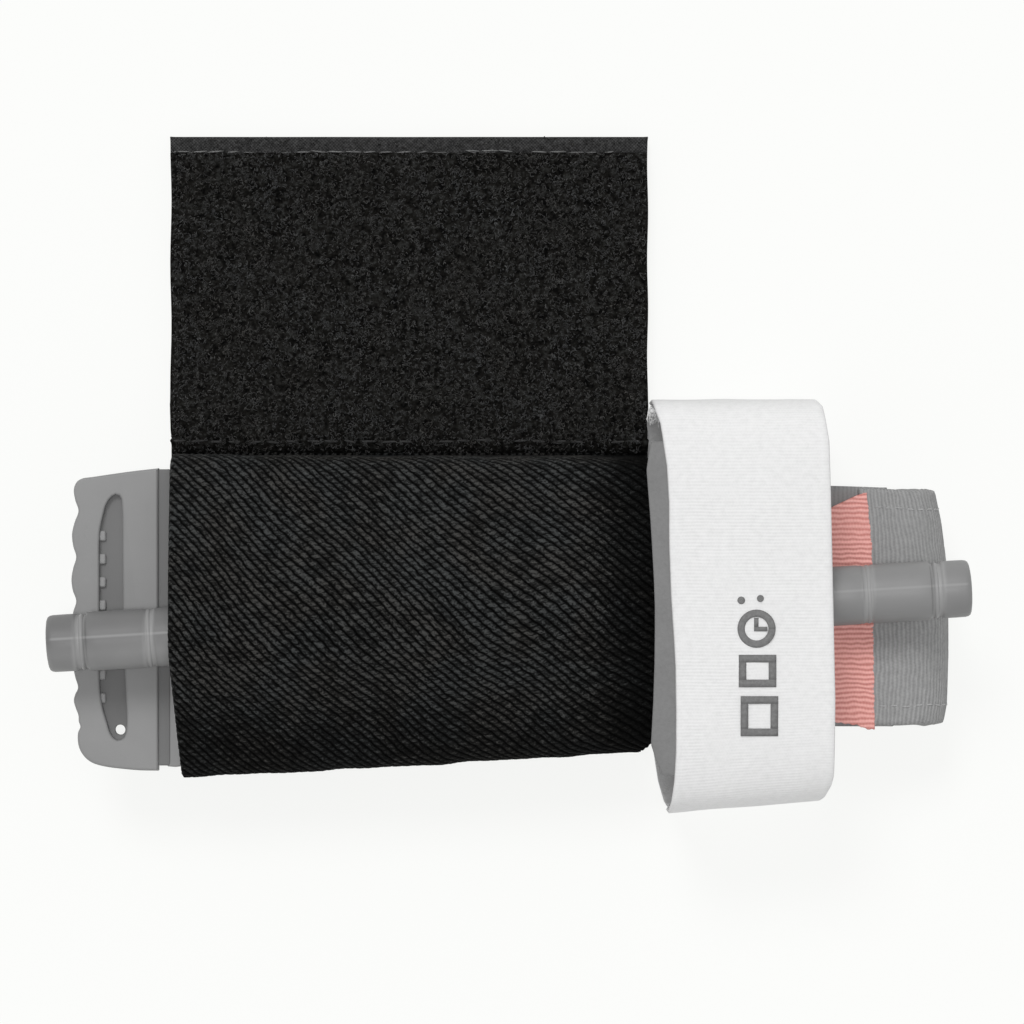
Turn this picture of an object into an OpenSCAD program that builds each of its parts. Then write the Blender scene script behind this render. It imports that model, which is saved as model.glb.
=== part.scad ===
// Windlass limb tourniquet, folded for carrying, drawn into an elastic sleeve with a
// hook-and-loop attachment flap. Millimetres. It lies on its back: +X runs along the
// windlass rod, +Y from the sleeve towards the flap, +Z away from the wearer.
// Shapes are drawn about the middle of the folded band and moved to the row frame at the end.

/* [Folded band] */
// Width of the self-adhering band
band_w = 38.1; // [36:0.1:38.2]
// Thickness of the band, both plies and the strip inside
band_t = 2.0; // [1.8:0.05:2.1]
// Height from one folded layer to the next
layer_pitch = 2.25; // [2.2:0.01:2.3]
// Middle of the folds under the buckle, as a distance from the rod's middle
fold_left = 65; // [62:0.5:65.5]
// Middle of the inner folds at the tip end, as a distance from the rod's middle
fold_right = 61; // [58:0.5:61.5]
// Middle of the outer fold that wraps the stack, as a distance from the rod's middle
wrap_right = 62.4; // [62:0.1:63]

/* [Windlass] */
// Length of the windlass rod
rod_len = 147; // [140:1:150]
// Radius of the rod's grip barrels
rod_r = 4.7; // [4.2:0.1:4.8]
// Angle of the rod to the band as it lies in its clip
rod_tilt = 3.47; // [3:0.1:4]
// Sideways place of the rod's middle
rod_y = -1.5; // [-1.8:0.1:-1.2]

/* [Time strap] */
// Width of the time strap
strap_w = 25; // [24:0.1:25.4]
// Half of the strap loop's height across the band
strap_half_y = 33; // [32.5:0.1:36]

/* [Buckle] */
// Thickness of the buckle's plate
buckle_t = 3.2; // [2.6:0.1:3.3]
// Length of the band slot
slot_len = 39.6; // [38.5:0.1:40]
// Number of finger waves on the buckle's end
waves = 7; // [5:1:8]

/* [Sleeve and flap] */
// Thickness of the sleeve's elastic
elastic_t = 1.2; // [1:0.1:1.2]
// Width of the sleeve, along the rod
sleeve_w = 77.1; // [70:0.1:77.1]
// Height of the flap above the seam
flap_h = 51.7; // [40:0.1:60]
// Width of the flap, along the rod
flap_w = 77.8; // [70:0.1:80]

/* [Hidden] */
$fn = 64;

play = 0.3;                       // free gap between soft parts that move past each other
eps = 0.01;                       // overlap that joins two shapes of one solid

// Band stack: layers 0 to 6 run the whole length, and the tip lies on top as layer 7
stack_z = 1.8;
top_layer = 6;
channel_t = 0.9;                  // height of the channel between the band's plies
channel_w = 26;
inner_t = 0.7;                    // inner band
inner_w = 25;
tip_end = 43.4;                   // where the free end stops, beside the clip
tip_start = 58;                   // where the red cover starts
function layer_z(k) = stack_z + layer_pitch * k;
layer_top = layer_z(top_layer) + band_t;
tip_top = layer_z(top_layer + 1) + band_t;
wrap_z = (stack_z + tip_top) / 2;
wrap_r = (tip_top - stack_z) / 2;

// Base plate and clip, on the top layer
plate_x0 = -33;
plate_x1 = 43;
plate_w = 40;
plate_t = 2.2;
plate_z = layer_z(top_layer + 1);
plate_top = plate_z + plate_t;
clip_x = 35;
clip_len = 14;
clip_inner = 7.2;                 // half of the room between the prongs
clip_wall = 2.4;
clip_gap = 5.2;                   // half of the mouth that the rod enters by
clip_base_t = 1.25;
rivet_r = 1.4;
rivet_head_r = 2.2;
rivet_y = 4.6;

// Windlass rod
rod_z = plate_top + clip_base_t + play + rod_r;
rod_top = rod_z + rod_r;
rod_slot_len = 27;
rod_slot_h = 2.4;
cap_len = 4.4;
cap_r = 4.5;
groove_r = 4.05;
grip_len = 9.6;
groove_len = 1.4;
clip_top = rod_top + play + clip_wall;

// Inner band where it leaves the plies for the rod
riser_y = 10.6;
riser_t = 1.0;

// Buckle, measured from the rod's middle
buckle_left = -69.7;              // mid line of the finger waves
buckle_step = -56.3;              // where the grip panel steps down to the tail
buckle_right = -46.6;
buckle_y0 = -26.2;
buckle_y1 = 20.6;
buckle_rise = 1.7;                // how much higher the top edge is at its inner end
buckle_z = layer_z(top_layer - 1) + band_t + play;
wave_h = 0.55;
wave_first = 17.8;                // y of the first crest
wave_pitch = 6.6;
slot_x = -63.9;
slot_y = -1.7;
slot_w = 3.5;
bar_x = -49;
bar_r = 1.3;
bar_z = layer_z(top_layer - 1) + band_t + 2.5;
loop_w = 34;
loop_in = bar_r + 0.08;
loop_t = 1.0;
loop_end = -35;

// Time strap: a ring in the YZ plane whose back half stays and whose front half opens
strap_x = 37.5;
strap_t = 1.2;
strap_face_t = 0.7;               // the white face; the rest is the hook lining
strap_half_z = (clip_top + play + strap_t) / 2;
ring_power = 5;
strap_hinge_y = -strap_half_y + strap_t / 2;

// Sleeve
sleeve_x1 = 23.3;
seam_y = 24.3;
rod_room = [-11.4, 3.7];          // centres of the sleeve's ridge circles in y
side_room = [-25.3, 21.0];        // centres of the sleeve's widest circles in y
floor_room = [-18.8, 20.2];       // centres of the sleeve's floor circles in y
corner_r = 2;
seam_z = [1.0, 3.6];

// Flap
flap_x0 = -55.1;
flap_y0 = seam_y + play;
hook_t = 1.4;
backing_t = 0.6;
tail_t = 1.6;
loop_t_flap = 1.9;
flap_edge_r = (hook_t + backing_t + tail_t + loop_t_flap) / 2;
flap_axis_y = flap_y0 + flap_edge_r;
flap_top = flap_y0 + flap_h;
loop_panel_top = flap_top - 2.1;
tail_y1 = flap_axis_y + 5.5;
ramp_y = tail_y1 + 2.5;
seam_row_y = flap_axis_y + 0.6;    // the seam's stitch row lies in a groove of the loop panel
seam_row_depth = 0.5;
stitch_r = 0.28;
stitch_len = 2.3;
stitch_pitch = 3.1;

// Row frame: the origin is under the middle of everything
centre_y = (flap_top - strap_half_y) / 2;

module on_base() translate([0, -centre_y, 0]) children();

// Extrudes a profile drawn in (x, z) by w across the band
module across(w) rotate([90, 0, 0]) linear_extrude(w, center = true) children();

// Extrudes a profile drawn in (y, z) from x0 by length
module along(x0, length) translate([x0, 0, 0]) rotate([90, 0, 90]) linear_extrude(length) children();

// A row of thread lengths lying along X on a surface at height z
module stitch_row(x0, x1, y, z) {
    count = floor((x1 - x0 - stitch_len) / stitch_pitch) + 1;
    start = (x0 + x1 - (count - 1) * stitch_pitch - stitch_len) / 2;
    for (i = [0:count - 1])
        translate([start + i * stitch_pitch, y, z + stitch_r])
            rotate([0, 90, 0]) cylinder(r = stitch_r, h = stitch_len, $fn = 16);
}

// ---- Holder ----

module sleeve_outline(t) {
    hull() {
        for (y = rod_room) translate([y, rod_top + play - corner_r]) circle(corner_r + t, $fn = 32);
        for (y = side_room) translate([y, buckle_z + buckle_t / 2]) circle(corner_r + t, $fn = 32);
        for (y = floor_room) translate([y, elastic_t + corner_r]) circle(corner_r + t, $fn = 32);
    }
}

module sleeve_elastic() {
    color([0.12, 0.12, 0.12]) on_base() along(sleeve_x1 - sleeve_w, sleeve_w) difference() {
        union() {
            sleeve_outline(elastic_t);
            translate([side_room[1], seam_z[0]]) square([seam_y - side_room[1], seam_z[1] - seam_z[0]]);
        }
        sleeve_outline(0);
    }
}

module sleeve_seam_tails() {
    color([0.12, 0.12, 0.12]) on_base() along(sleeve_x1 - sleeve_w, sleeve_w)
        translate([flap_axis_y, hook_t + backing_t]) square([tail_y1 - flap_axis_y, tail_t]);
}

module flap_hook_panel() {
    color([0.1, 0.1, 0.1]) on_base()
        translate([flap_x0, flap_axis_y, 0]) cube([flap_w, flap_top - 1 - flap_axis_y, hook_t]);
}

module flap_backing() {
    color([0.2, 0.2, 0.19]) on_base()
        translate([flap_x0, flap_axis_y, hook_t]) cube([flap_w, flap_top - flap_axis_y, backing_t]);
}

module flap_loop_panel() {
    low = hook_t + backing_t;
    color([0.13, 0.13, 0.13]) on_base() along(flap_x0, flap_w) {
        intersection() {
            translate([flap_axis_y, flap_edge_r]) circle(flap_edge_r);
            translate([flap_y0 - 1, 0]) square([flap_edge_r + 1, 2 * flap_edge_r]);
        }
        polygon([
            [flap_axis_y - eps, low + tail_t], [tail_y1 + eps, low + tail_t], [tail_y1 + eps, low],
            [loop_panel_top, low], [loop_panel_top, low + loop_t_flap], [ramp_y, low + loop_t_flap],
            [tail_y1, 2 * flap_edge_r], [seam_row_y + 0.45, 2 * flap_edge_r],
            [seam_row_y + 0.35, 2 * flap_edge_r - seam_row_depth],
            [seam_row_y - 0.35, 2 * flap_edge_r - seam_row_depth],
            [seam_row_y - 0.45, 2 * flap_edge_r], [flap_axis_y - eps, 2 * flap_edge_r]
        ]);
    }
}

module flap_top_stitching() {
    color([0.45, 0.44, 0.42]) on_base()
        stitch_row(flap_x0 + 0.6, flap_x0 + flap_w - 0.6, loop_panel_top + 0.4, hook_t + backing_t);
}

module flap_seam_stitching() {
    color([0.3, 0.3, 0.28]) on_base()
        stitch_row(flap_x0 + 0.6, flap_x0 + flap_w - 0.6, seam_row_y, 2 * flap_edge_r - seam_row_depth);
}

// ---- Folded band ----

// A half ring in (x, z) about [x, z]; side is 1 for a fold at the tip end, -1 under the buckle
module fold(x, z, r_mid, t, side) {
    translate([x, z]) intersection() {
        difference() {
            circle(r_mid + t / 2);
            circle(r_mid - t / 2);
        }
        translate([side > 0 ? 0 : -2 * r_mid - t, -r_mid - t]) square([2 * r_mid + t, 2 * r_mid + 2 * t]);
    }
}

// The whole folded strip in (x, z), t thick about the band's middle surface
module strip_profile(t, start_x, end_x) {
    mid = band_t / 2;
    fold_r = layer_pitch / 2;
    translate([start_x, layer_z(top_layer) + mid - t / 2]) square([fold_right - start_x, t]);
    for (k = [1:top_layer - 1])
        translate([-fold_left, layer_z(k) + mid - t / 2]) square([fold_left + fold_right, t]);
    translate([-fold_left, layer_z(0) + mid - t / 2]) square([fold_left + wrap_right, t]);
    for (k = [1:2:top_layer - 1]) fold(fold_right, layer_z(k) + mid + fold_r, fold_r, t, 1);
    for (k = [0:2:top_layer - 2]) fold(-fold_left, layer_z(k) + mid + fold_r, fold_r, t, -1);
    fold(wrap_right, wrap_z, wrap_r - mid, t, 1);
    translate([end_x, layer_z(top_layer + 1) + mid - t / 2]) square([wrap_right - end_x, t]);
}

// The end ply that wraps the buckle's bar and is sewn down on the top layer
module buckle_loop_profile() {
    difference() {
        union() {
            translate([bar_x, bar_z]) circle(loop_in + loop_t);
            polygon([
                [bar_x, bar_z + loop_in + loop_t], [bar_x + 4, bar_z + loop_in + loop_t - 0.4],
                [loop_end - 6, layer_top + loop_t], [loop_end, layer_top + loop_t],
                [loop_end, layer_top - eps], [bar_x + 5, layer_z(top_layer) + 0.1],
                [bar_x, bar_z - loop_in - loop_t]
            ]);
        }
        translate([bar_x, bar_z]) circle(loop_in);
        translate([bar_x, bar_z - loop_in]) square([2.9, 2 * loop_in]);
    }
}

module outer_band() {
    color([0.55, 0.55, 0.54]) on_base() difference() {
        union() {
            across(band_w) strip_profile(band_t, bar_x + 5, tip_start);
            across(loop_w) buckle_loop_profile();
        }
        across(channel_w) strip_profile(channel_t, bar_x + 8, tip_start + 0.5);
        for (side = [-1, 1])
            translate([-rod_slot_len / 2, side * riser_y - riser_t / 2 - 0.15, layer_top - band_t / 2])
                cube([rod_slot_len, riser_t + 0.3, band_t]);
    }
}

module inner_band() {
    color([0.5, 0.5, 0.49]) on_base() {
        across(inner_w) strip_profile(inner_t, bar_x + 8.5, tip_start + 1);
        for (side = [-1, 1])
            translate([-inner_w / 2, side * riser_y - riser_t / 2, layer_top - band_t / 2])
                cube([inner_w, riser_t, plate_top - layer_top + band_t / 2]);
    }
}

// The free end under its red cover, with both corners cut back
module red_tip() {
    half = band_w / 2;
    color([0.8, 0.5, 0.46]) on_base() translate([0, 0, layer_z(top_layer + 1)]) linear_extrude(band_t)
        polygon([
            [tip_start, half - 0.2], [tip_end, half - 6.8], [tip_end, -half + 3.6],
            [tip_start - 6.5, -half + 0.4], [tip_start, -half]
        ]);
}

module band_edge_stitching() {
    color([0.62, 0.62, 0.6]) on_base()
        for (side = [-1, 1]) stitch_row(tip_start + 0.1, wrap_right, side * (band_w / 2 - 3.1), tip_top);
}

module buckle_loop_stitching() {
    color([0.62, 0.62, 0.6]) on_base()
        for (y = [-14, -5, 5, 14]) stitch_row(loop_end - 5.8, loop_end, y, layer_top + loop_t);
}

// ---- Windlass station ----

module base_plate() {
    r = 4;
    color([0.56, 0.56, 0.56]) on_base() difference() {
        translate([0, 0, plate_z]) linear_extrude(plate_t) {
            translate([plate_x0 + r, -plate_w / 2]) square([plate_x1 - plate_x0 - 2 * r, plate_w]);
            translate([plate_x0, -plate_w / 2 + r]) square([plate_x1 - plate_x0, plate_w - 2 * r]);
            for (x = [plate_x0 + r, plate_x1 - r], y = [-1, 1])
                translate([x, y * (plate_w / 2 - r)]) circle(r);
        }
        for (side = [-1, 1])
            translate([-rod_slot_len / 2, side * riser_y - riser_t / 2 - 0.15, plate_z - 1])
                cube([rod_slot_len, riser_t + 0.3, plate_t + 2]);
        for (side = [-1, 1]) translate([clip_x, side * rivet_y, plate_z - 1]) cylinder(r = rivet_r + 0.03, h = 4);
        for (side = [-1, 1])
            translate([clip_x, side * rivet_y, plate_z - 1]) cylinder(r = rivet_head_r + 0.03, h = 1.6);
    }
}

// One prong in (y, z) on the +Y side: a wall that turns in over the rod
module prong_profile() {
    wall_top = clip_top - clip_wall - 2;
    translate([clip_inner, plate_top]) square([clip_wall, wall_top - plate_top]);
    intersection() {
        translate([clip_inner - 2, wall_top]) difference() {
            circle(2 + clip_wall);
            circle(2);
        }
        translate([clip_inner - 2, wall_top]) square(2 + clip_wall);
    }
    translate([clip_gap, wall_top + 2]) square([clip_inner - 2 - clip_gap + eps, clip_wall]);
    translate([clip_gap, wall_top + 2 + clip_wall / 2]) circle(clip_wall / 2);
}

module windlass_clip() {
    half = clip_inner + clip_wall;
    color([0.54, 0.54, 0.54]) on_base() difference() {
        along(clip_x - clip_len / 2, clip_len) {
            prong_profile();
            mirror([1, 0]) prong_profile();
            translate([-half, plate_top]) square([2 * half, clip_base_t]);
        }
        for (side = [-1, 1])
            translate([clip_x, side * rivet_y, plate_top - 1]) cylinder(r = rivet_r + 0.03, h = 4);
    }
}

module clip_rivets() {
    color([0.6, 0.6, 0.6]) on_base() for (side = [-1, 1]) translate([clip_x, side * rivet_y, plate_z]) {
        cylinder(r = rivet_head_r, h = 0.55);
        cylinder(r = rivet_r, h = plate_t + clip_base_t);
    }
}

// Turned profile of one half of the rod, in (radius, distance from the middle)
module rod_half() {
    end = rod_len / 2;
    grip0 = end - cap_len - 1.8;
    function barrel(k) = grip0 - k * (grip_len + groove_len);
    rotate_extrude() {
        polygon([
            [0, barrel(3) - 0.2], [rod_r, barrel(3) - 0.2], [rod_r, 0], [0, 0]
        ]);
        square([groove_r, end - 1]);
        for (k = [0:2])
            polygon([
                [0, barrel(k) - grip_len], [rod_r - 0.3, barrel(k) - grip_len],
                [rod_r, barrel(k) - grip_len + 0.3], [rod_r, barrel(k) - 0.3],
                [rod_r - 0.3, barrel(k)], [0, barrel(k)]
            ]);
        polygon([
            [0, end - cap_len], [cap_r - 0.2, end - cap_len], [cap_r, end - cap_len + 0.3],
            [cap_r, end - 0.9], [cap_r - 0.25, end - 0.35], [cap_r - 0.9, end], [0, end]
        ]);
    }
}

module on_rod_axis() translate([0, rod_y, rod_z]) rotate([0, 0, rod_tilt]) children();

module windlass_rod() {
    color([0.55, 0.55, 0.55]) on_base() on_rod_axis() difference() {
        union() {
            rotate([0, 90, 0]) rod_half();
            rotate([0, -90, 0]) rod_half();
        }
        translate([-rod_slot_len / 2, -rod_r - 1, -rod_slot_h / 2])
            cube([rod_slot_len, 2 * rod_r + 2, rod_slot_h]);
    }
}

// The inner band's short run through the rod, down to the plate on both sides
module inner_band_bight() {
    foot = plate_top + play - rod_z;
    half = riser_t / 2;
    color([0.5, 0.5, 0.49]) on_base() on_rod_axis() along(-inner_w / 2, inner_w)
        polygon([
            [-riser_y + half, foot], [-6.2, -half], [6.2, -half], [riser_y - half, foot],
            [riser_y + half, foot], [6.9, half], [-6.9, half], [-riser_y - half, foot]
        ]);
}

// ---- Buckle ----

function wave_x(y) = buckle_left - wave_h * cos(360 * (y - wave_first) / wave_pitch);

// Grip panel outline: finger waves at the outer end, a large round at the lower corner
module grip_outline() {
    low_r = 5.5;
    top_r = 1.8;
    wave_top = wave_first + 1.2;
    wave_low = wave_top - (waves - 0.85) * wave_pitch;
    rounded = [for (a = [190:10:270]) [buckle_left + low_r + low_r * cos(a) + 0.4, buckle_y0 + low_r + low_r * sin(a)]];
    polygon(concat(
        [[buckle_step, buckle_y1 + buckle_rise - 0.4], [buckle_left + top_r + 0.8, buckle_y1]],
        [for (a = [100:20:160]) [buckle_left + top_r + top_r * cos(a), buckle_y1 - top_r + top_r * sin(a)]],
        [for (y = [wave_top:-0.55:wave_low]) [wave_x(y), y]],
        rounded,
        [[buckle_step, buckle_y0]]
    ));
}

// Band slot with a bowed outer side that carries gripping teeth
module slot_outline() {
    half = slot_len / 2;
    bow = 1.0;
    tooth_pitch = 3.7;
    polygon(concat(
        [[slot_w / 2 - 1.2, half], [slot_w / 2, half - 2], [slot_w / 2, -half + 1.6], [slot_w / 2 - 1, -half]],
        [for (y = [-half + 0.4:0.6:half - 0.4]) [
            -slot_w / 2 + bow * pow(y / half, 4) * 1.3
                + (abs(y) < half - 5 ? 0.35 * (1 - cos(360 * y / tooth_pitch)) : 0),
            y
        ]]
    ));
}

module routing_buckle() {
    tail_z = buckle_z + 0.5;
    color([0.56, 0.56, 0.56]) on_base() difference() {
        union() {
            translate([0, 0, buckle_z]) linear_extrude(buckle_t) grip_outline();
            translate([buckle_step - 1, buckle_y0 + 0.4, tail_z])
                cube([buckle_right - buckle_step + 1, buckle_y1 + buckle_rise - buckle_y0 - 0.8, buckle_t - 1.3]);
        }
        translate([slot_x, slot_y, buckle_z - 1]) linear_extrude(buckle_t + 2) slot_outline();
        translate([bar_x - 3.6, -loop_w / 2 - 1.2, buckle_z - 1]) cube([8, loop_w + 2.4, 5]);
    }
    color([0.56, 0.56, 0.56]) on_base() {
        translate([bar_x, -loop_w / 2 - 1.3, bar_z]) rotate([-90, 0, 0]) cylinder(r = bar_r, h = loop_w + 2.6);
        for (side = [-1, 1])
            translate([bar_x - 3.7, side * (loop_w / 2 + 2.6) - 1.5, tail_z])
                cube([5.3, 3, bar_z + bar_r - tail_z]);
    }
}

// ---- Time strap ----

// Point of the strap ring at angle a, inset from its outer surface
function ring_point(a, inset) =
    let (hy = strap_half_y - inset, hz = strap_half_z - inset)
    let (r = pow(pow(abs(cos(a)) / hy, ring_power) + pow(abs(sin(a)) / hz, ring_power), -1 / ring_power))
    [r * cos(a), strap_half_z + r * sin(a)];

function smooth(x) = let (s = min(1, max(0, x))) s * s * (3 - 2 * s);

lap_inset = strap_t + play;
front_end = -9;
back_end = 7;

// A stretch of the ring from angle a0 to a1, between two insets; lap moves the far end inwards
module ring_stretch(a0, a1, inset0, inset1, lap) {
    step = 3;
    angles = concat([for (a = [a0:step:a1 - 0.5]) a], [a1]);
    function shift(a) = lap ? lap_inset * smooth((a - 325) / 22) : 0;
    polygon(concat(
        [for (a = angles) ring_point(a, inset0 + shift(a))],
        [for (i = [len(angles) - 1:-1:0]) ring_point(angles[i], inset1 + shift(angles[i]))]
    ));
}

module strap_layer(a0, a1, inset0, inset1, lap) {
    on_base() along(strap_x - strap_w / 2, strap_w) ring_stretch(a0, a1, inset0, inset1, lap);
}

module strap_back() color([0.92, 0.92, 0.91]) strap_layer(182, 360 + back_end, 0, strap_face_t, true);

module strap_back_lining() color([0.5, 0.5, 0.5]) strap_layer(182, 360 + back_end, strap_face_t, strap_t, true);

module strap_front() {
    color([0.92, 0.92, 0.91]) {
        strap_layer(front_end, 179.4, 0, strap_face_t, false);
        on_base() translate([strap_x - strap_w / 2, strap_hinge_y, strap_half_z])
            rotate([0, 90, 0]) cylinder(r = strap_t / 2, h = strap_w, $fn = 32);
    }
}

module strap_front_lining() {
    color([0.5, 0.5, 0.5]) difference() {
        strap_layer(front_end, 178, strap_face_t, strap_t, false);
        on_base() translate([strap_x - strap_w, strap_hinge_y, strap_half_z])
            rotate([0, 90, 0]) cylinder(r = strap_t / 2 + 0.02, h = 2 * strap_w, $fn = 32);
    }
}

// Bar tacks that hold the strap's back half to the band under it
module strap_stitching() {
    color([0.62, 0.62, 0.6]) on_base()
        for (y = [-12, 0, 12]) translate([0, 0, strap_t]) stitch_row(strap_x - 9, strap_x + 9, y, 0);
}

sleeve_elastic();
sleeve_seam_tails();
flap_hook_panel();
flap_backing();
flap_loop_panel();
flap_top_stitching();
flap_seam_stitching();
outer_band();
inner_band();
red_tip();
band_edge_stitching();
buckle_loop_stitching();
base_plate();
windlass_clip();
clip_rivets();
windlass_rod();
inner_band_bight();
routing_buckle();
strap_back();
strap_back_lining();
strap_front();
strap_front_lining();
strap_stitching();
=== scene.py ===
"""Looks of the folded windlass tourniquet in its elastic holder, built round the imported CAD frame.

Lengths in this file are millimetres in the folded band's own frame: x along the rod, y across the band
from its middle line, z up from the table. place() turns them into metres in the row frame.
"""

import math

import bmesh
import bpy
import numpy as np
from mathutils import Matrix, Vector


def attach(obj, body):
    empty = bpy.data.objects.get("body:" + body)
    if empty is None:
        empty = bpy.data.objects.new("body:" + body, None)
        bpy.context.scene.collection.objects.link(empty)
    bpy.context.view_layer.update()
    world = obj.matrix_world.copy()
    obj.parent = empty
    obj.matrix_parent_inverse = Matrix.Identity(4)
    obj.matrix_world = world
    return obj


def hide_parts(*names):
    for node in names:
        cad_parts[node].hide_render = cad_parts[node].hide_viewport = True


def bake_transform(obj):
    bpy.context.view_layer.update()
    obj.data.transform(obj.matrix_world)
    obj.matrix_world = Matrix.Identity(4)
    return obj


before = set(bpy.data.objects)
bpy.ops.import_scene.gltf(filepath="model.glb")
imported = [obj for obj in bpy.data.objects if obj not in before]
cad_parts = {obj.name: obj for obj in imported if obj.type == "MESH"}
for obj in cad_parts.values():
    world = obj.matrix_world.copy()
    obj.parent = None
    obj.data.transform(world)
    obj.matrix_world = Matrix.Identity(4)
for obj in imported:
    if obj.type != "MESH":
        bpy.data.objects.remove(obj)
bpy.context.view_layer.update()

MM = 0.001
MID_Y = 21.65  # the band's middle line is this far on the -Y side of the row frame's origin
WELD = 1e-6  # slab points nearer than this, in metres, become one
TINY = 1e-12  # keeps a division by a length from failing
RNG = np.random.default_rng(7)
ROD_CENTRE = (0.0, -1.5, 26.0)
ROD_TILT = math.radians(3.47)
ROD_R = 4.7


# ---------------------------------------------------------------- meshes

def place(points):
    """Millimetres in the band's frame to metres in the row frame."""
    return (np.asarray(points, float) - (0.0, MID_Y, 0.0)) * MM


def row(x, y, z):
    return tuple(place((x, y, z)))


def show(name, mesh):
    """An object in the scene from a mesh."""
    obj = bpy.data.objects.new(name, mesh)
    bpy.context.scene.collection.objects.link(obj)
    return obj


def mesh_object(name, points, polys, uv, uv_polys=None):
    """A smooth mesh from points (n, 3) and arrays of faces.
    uv holds one pair for each point, or for each index in uv_polys."""
    points = place(points)
    polys = [np.asarray(p, np.int32) for p in polys if len(p)]
    loops = np.concatenate([p.ravel() for p in polys])
    sizes = np.concatenate([np.full(len(p), p.shape[1]) for p in polys])
    mesh = bpy.data.meshes.new(name)
    mesh.vertices.add(len(points))
    mesh.vertices.foreach_set("co", points.astype(np.float32).ravel())
    mesh.loops.add(len(loops))
    mesh.loops.foreach_set("vertex_index", loops)
    mesh.polygons.add(len(sizes))
    starts = np.concatenate([[0], np.cumsum(sizes)[:-1]])
    mesh.polygons.foreach_set("loop_start", starts.astype(np.int32))
    mesh.update(calc_edges=True)
    at = loops if uv_polys is None else np.concatenate([p.ravel() for p in uv_polys])
    values = np.asarray(uv, float)[at].astype(np.float32)
    mesh.uv_layers.new(name="Cloth").data.foreach_set("uv", values.ravel())
    mesh.validate()
    mesh.polygons.foreach_set("use_smooth", np.ones(len(mesh.polygons), bool))
    return show(name, mesh)


def normals_of(grid, closed_v=False):
    """Unit normals of an (m, n, 3) grid, on the side that du x dv points to."""
    du = np.gradient(grid, axis=0)
    if closed_v:
        dv = (np.roll(grid, -1, axis=1) - np.roll(grid, 1, axis=1)) / 2
    else:
        dv = np.gradient(grid, axis=1)
    n = np.cross(du, dv)
    return n / np.maximum(np.linalg.norm(n, axis=2, keepdims=True), TINY)


def shell(name, outer, thick, uv, closed_v=False, rim=0.3, inner=None):
    """A closed solid under a grid of points (m, n, 3): thick deep, away from its normals, with rounded rims.
    thick is a number or an (m, n) array. closed_v joins the last column to the first. inner is the far side,
    if known."""
    m, n = outer.shape[:2]
    thick = np.broadcast_to(np.asarray(thick, float), (m, n))[..., None]
    if inner is None:
        inner = outer - normals_of(outer, closed_v) * thick
    points = [outer.reshape(-1, 3), inner.reshape(-1, 3)]
    ids = np.arange(m * n).reshape(m, n)
    grids = [ids, ids + m * n]
    count = 2 * m * n
    uv_flat = np.concatenate([uv.reshape(-1, 2)] * 2)
    uv_ids = np.arange(uv.shape[0] * uv.shape[1]).reshape(uv.shape[:2])

    def quads(g):
        g = np.concatenate([g, g[:, :1]], axis=1) if closed_v and g.shape[1] == n else g
        return np.stack([g[:-1, :-1], g[1:, :-1], g[1:, 1:], g[:-1, 1:]], axis=-1).reshape(-1, 4)

    polys = [quads(grids[0]), quads(grids[1])[:, ::-1]]
    uv_polys = [quads(uv_ids), (quads(uv_ids) + uv_ids.size)[:, ::-1]]
    borders = [(0, 0, 1), (0, m - 1, m - 2)] + ([] if closed_v else [(1, 0, 1), (1, n - 1, n - 2)])
    for axis, at, near in borders:
        a, b, u, edge, low, t = (np.take(q, at, axis) for q in (*grids, uv_ids, outer, inner, thick))
        away = edge - np.take(outer, near, axis)
        away /= np.maximum(np.linalg.norm(away, axis=1, keepdims=True), TINY)
        mid = (edge + low) / 2 + away * t * rim
        mids = np.arange(count, count + len(mid))
        count += len(mid)
        points.append(mid)
        if axis == 0 and closed_v:
            a, b, mids = (np.append(q, q[0]) for q in (a, b, mids))
        flip = (axis == 0) == (at == 0)
        for p, q in ((a, mids), (mids, b)):
            f = np.stack([p[:-1], p[1:], q[1:], q[:-1]], axis=-1)
            g = np.stack([u[:-1], u[1:], u[1:], u[:-1]], axis=-1)
            polys.append(f if flip else f[:, ::-1])
            uv_polys.append(g if flip else g[:, ::-1])
    if not closed_v:  # corner triangles between neighbouring rims
        first = 2 * m * n
        rows = {0: first, 1: first + n, 2: first + 2 * n, 3: first + 2 * n + m}
        for i, j in ((0, 0), (0, n - 1), (m - 1, 0), (m - 1, n - 1)):
            ra = rows[0 if i == 0 else 1] + j
            rb = rows[2 if j == 0 else 3] + i
            top, low = grids[0][i, j], grids[1][i, j]
            flip = (i == 0) == (j == 0)
            for tri in ((top, ra, rb), (low, rb, ra)):
                polys.append(np.array([tri if flip else tri[::-1]]))
                uv_polys.append(np.full((1, 3), uv_ids[i, j if j == 0 else -1]))
    return mesh_object(name, np.concatenate(points), polys, uv_flat, uv_polys)


def vertices_of(mesh):
    """A mesh's points as an (n, 3) array."""
    co = np.zeros(len(mesh.vertices) * 3)
    mesh.vertices.foreach_get("co", co)
    return co.reshape(-1, 3)


def pairs(a, b):
    """Pairs from two arrays that broadcast together."""
    return np.stack(np.broadcast_arrays(a, b), axis=-1)


def grid_of(x, y, z):
    """A grid of points from three arrays that broadcast together."""
    return np.stack(np.broadcast_arrays(x, y, z), axis=-1)


def arc_length(line):
    """The length along a line of points, at each point."""
    return np.concatenate([[0], np.cumsum(np.linalg.norm(np.diff(line, axis=0), axis=1))])


def resample(line, at):
    """Points on a line at the given lengths along it."""
    s = arc_length(line)
    return np.stack([np.interp(at, s, line[:, k]) for k in range(line.shape[1])], axis=1)


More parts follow.
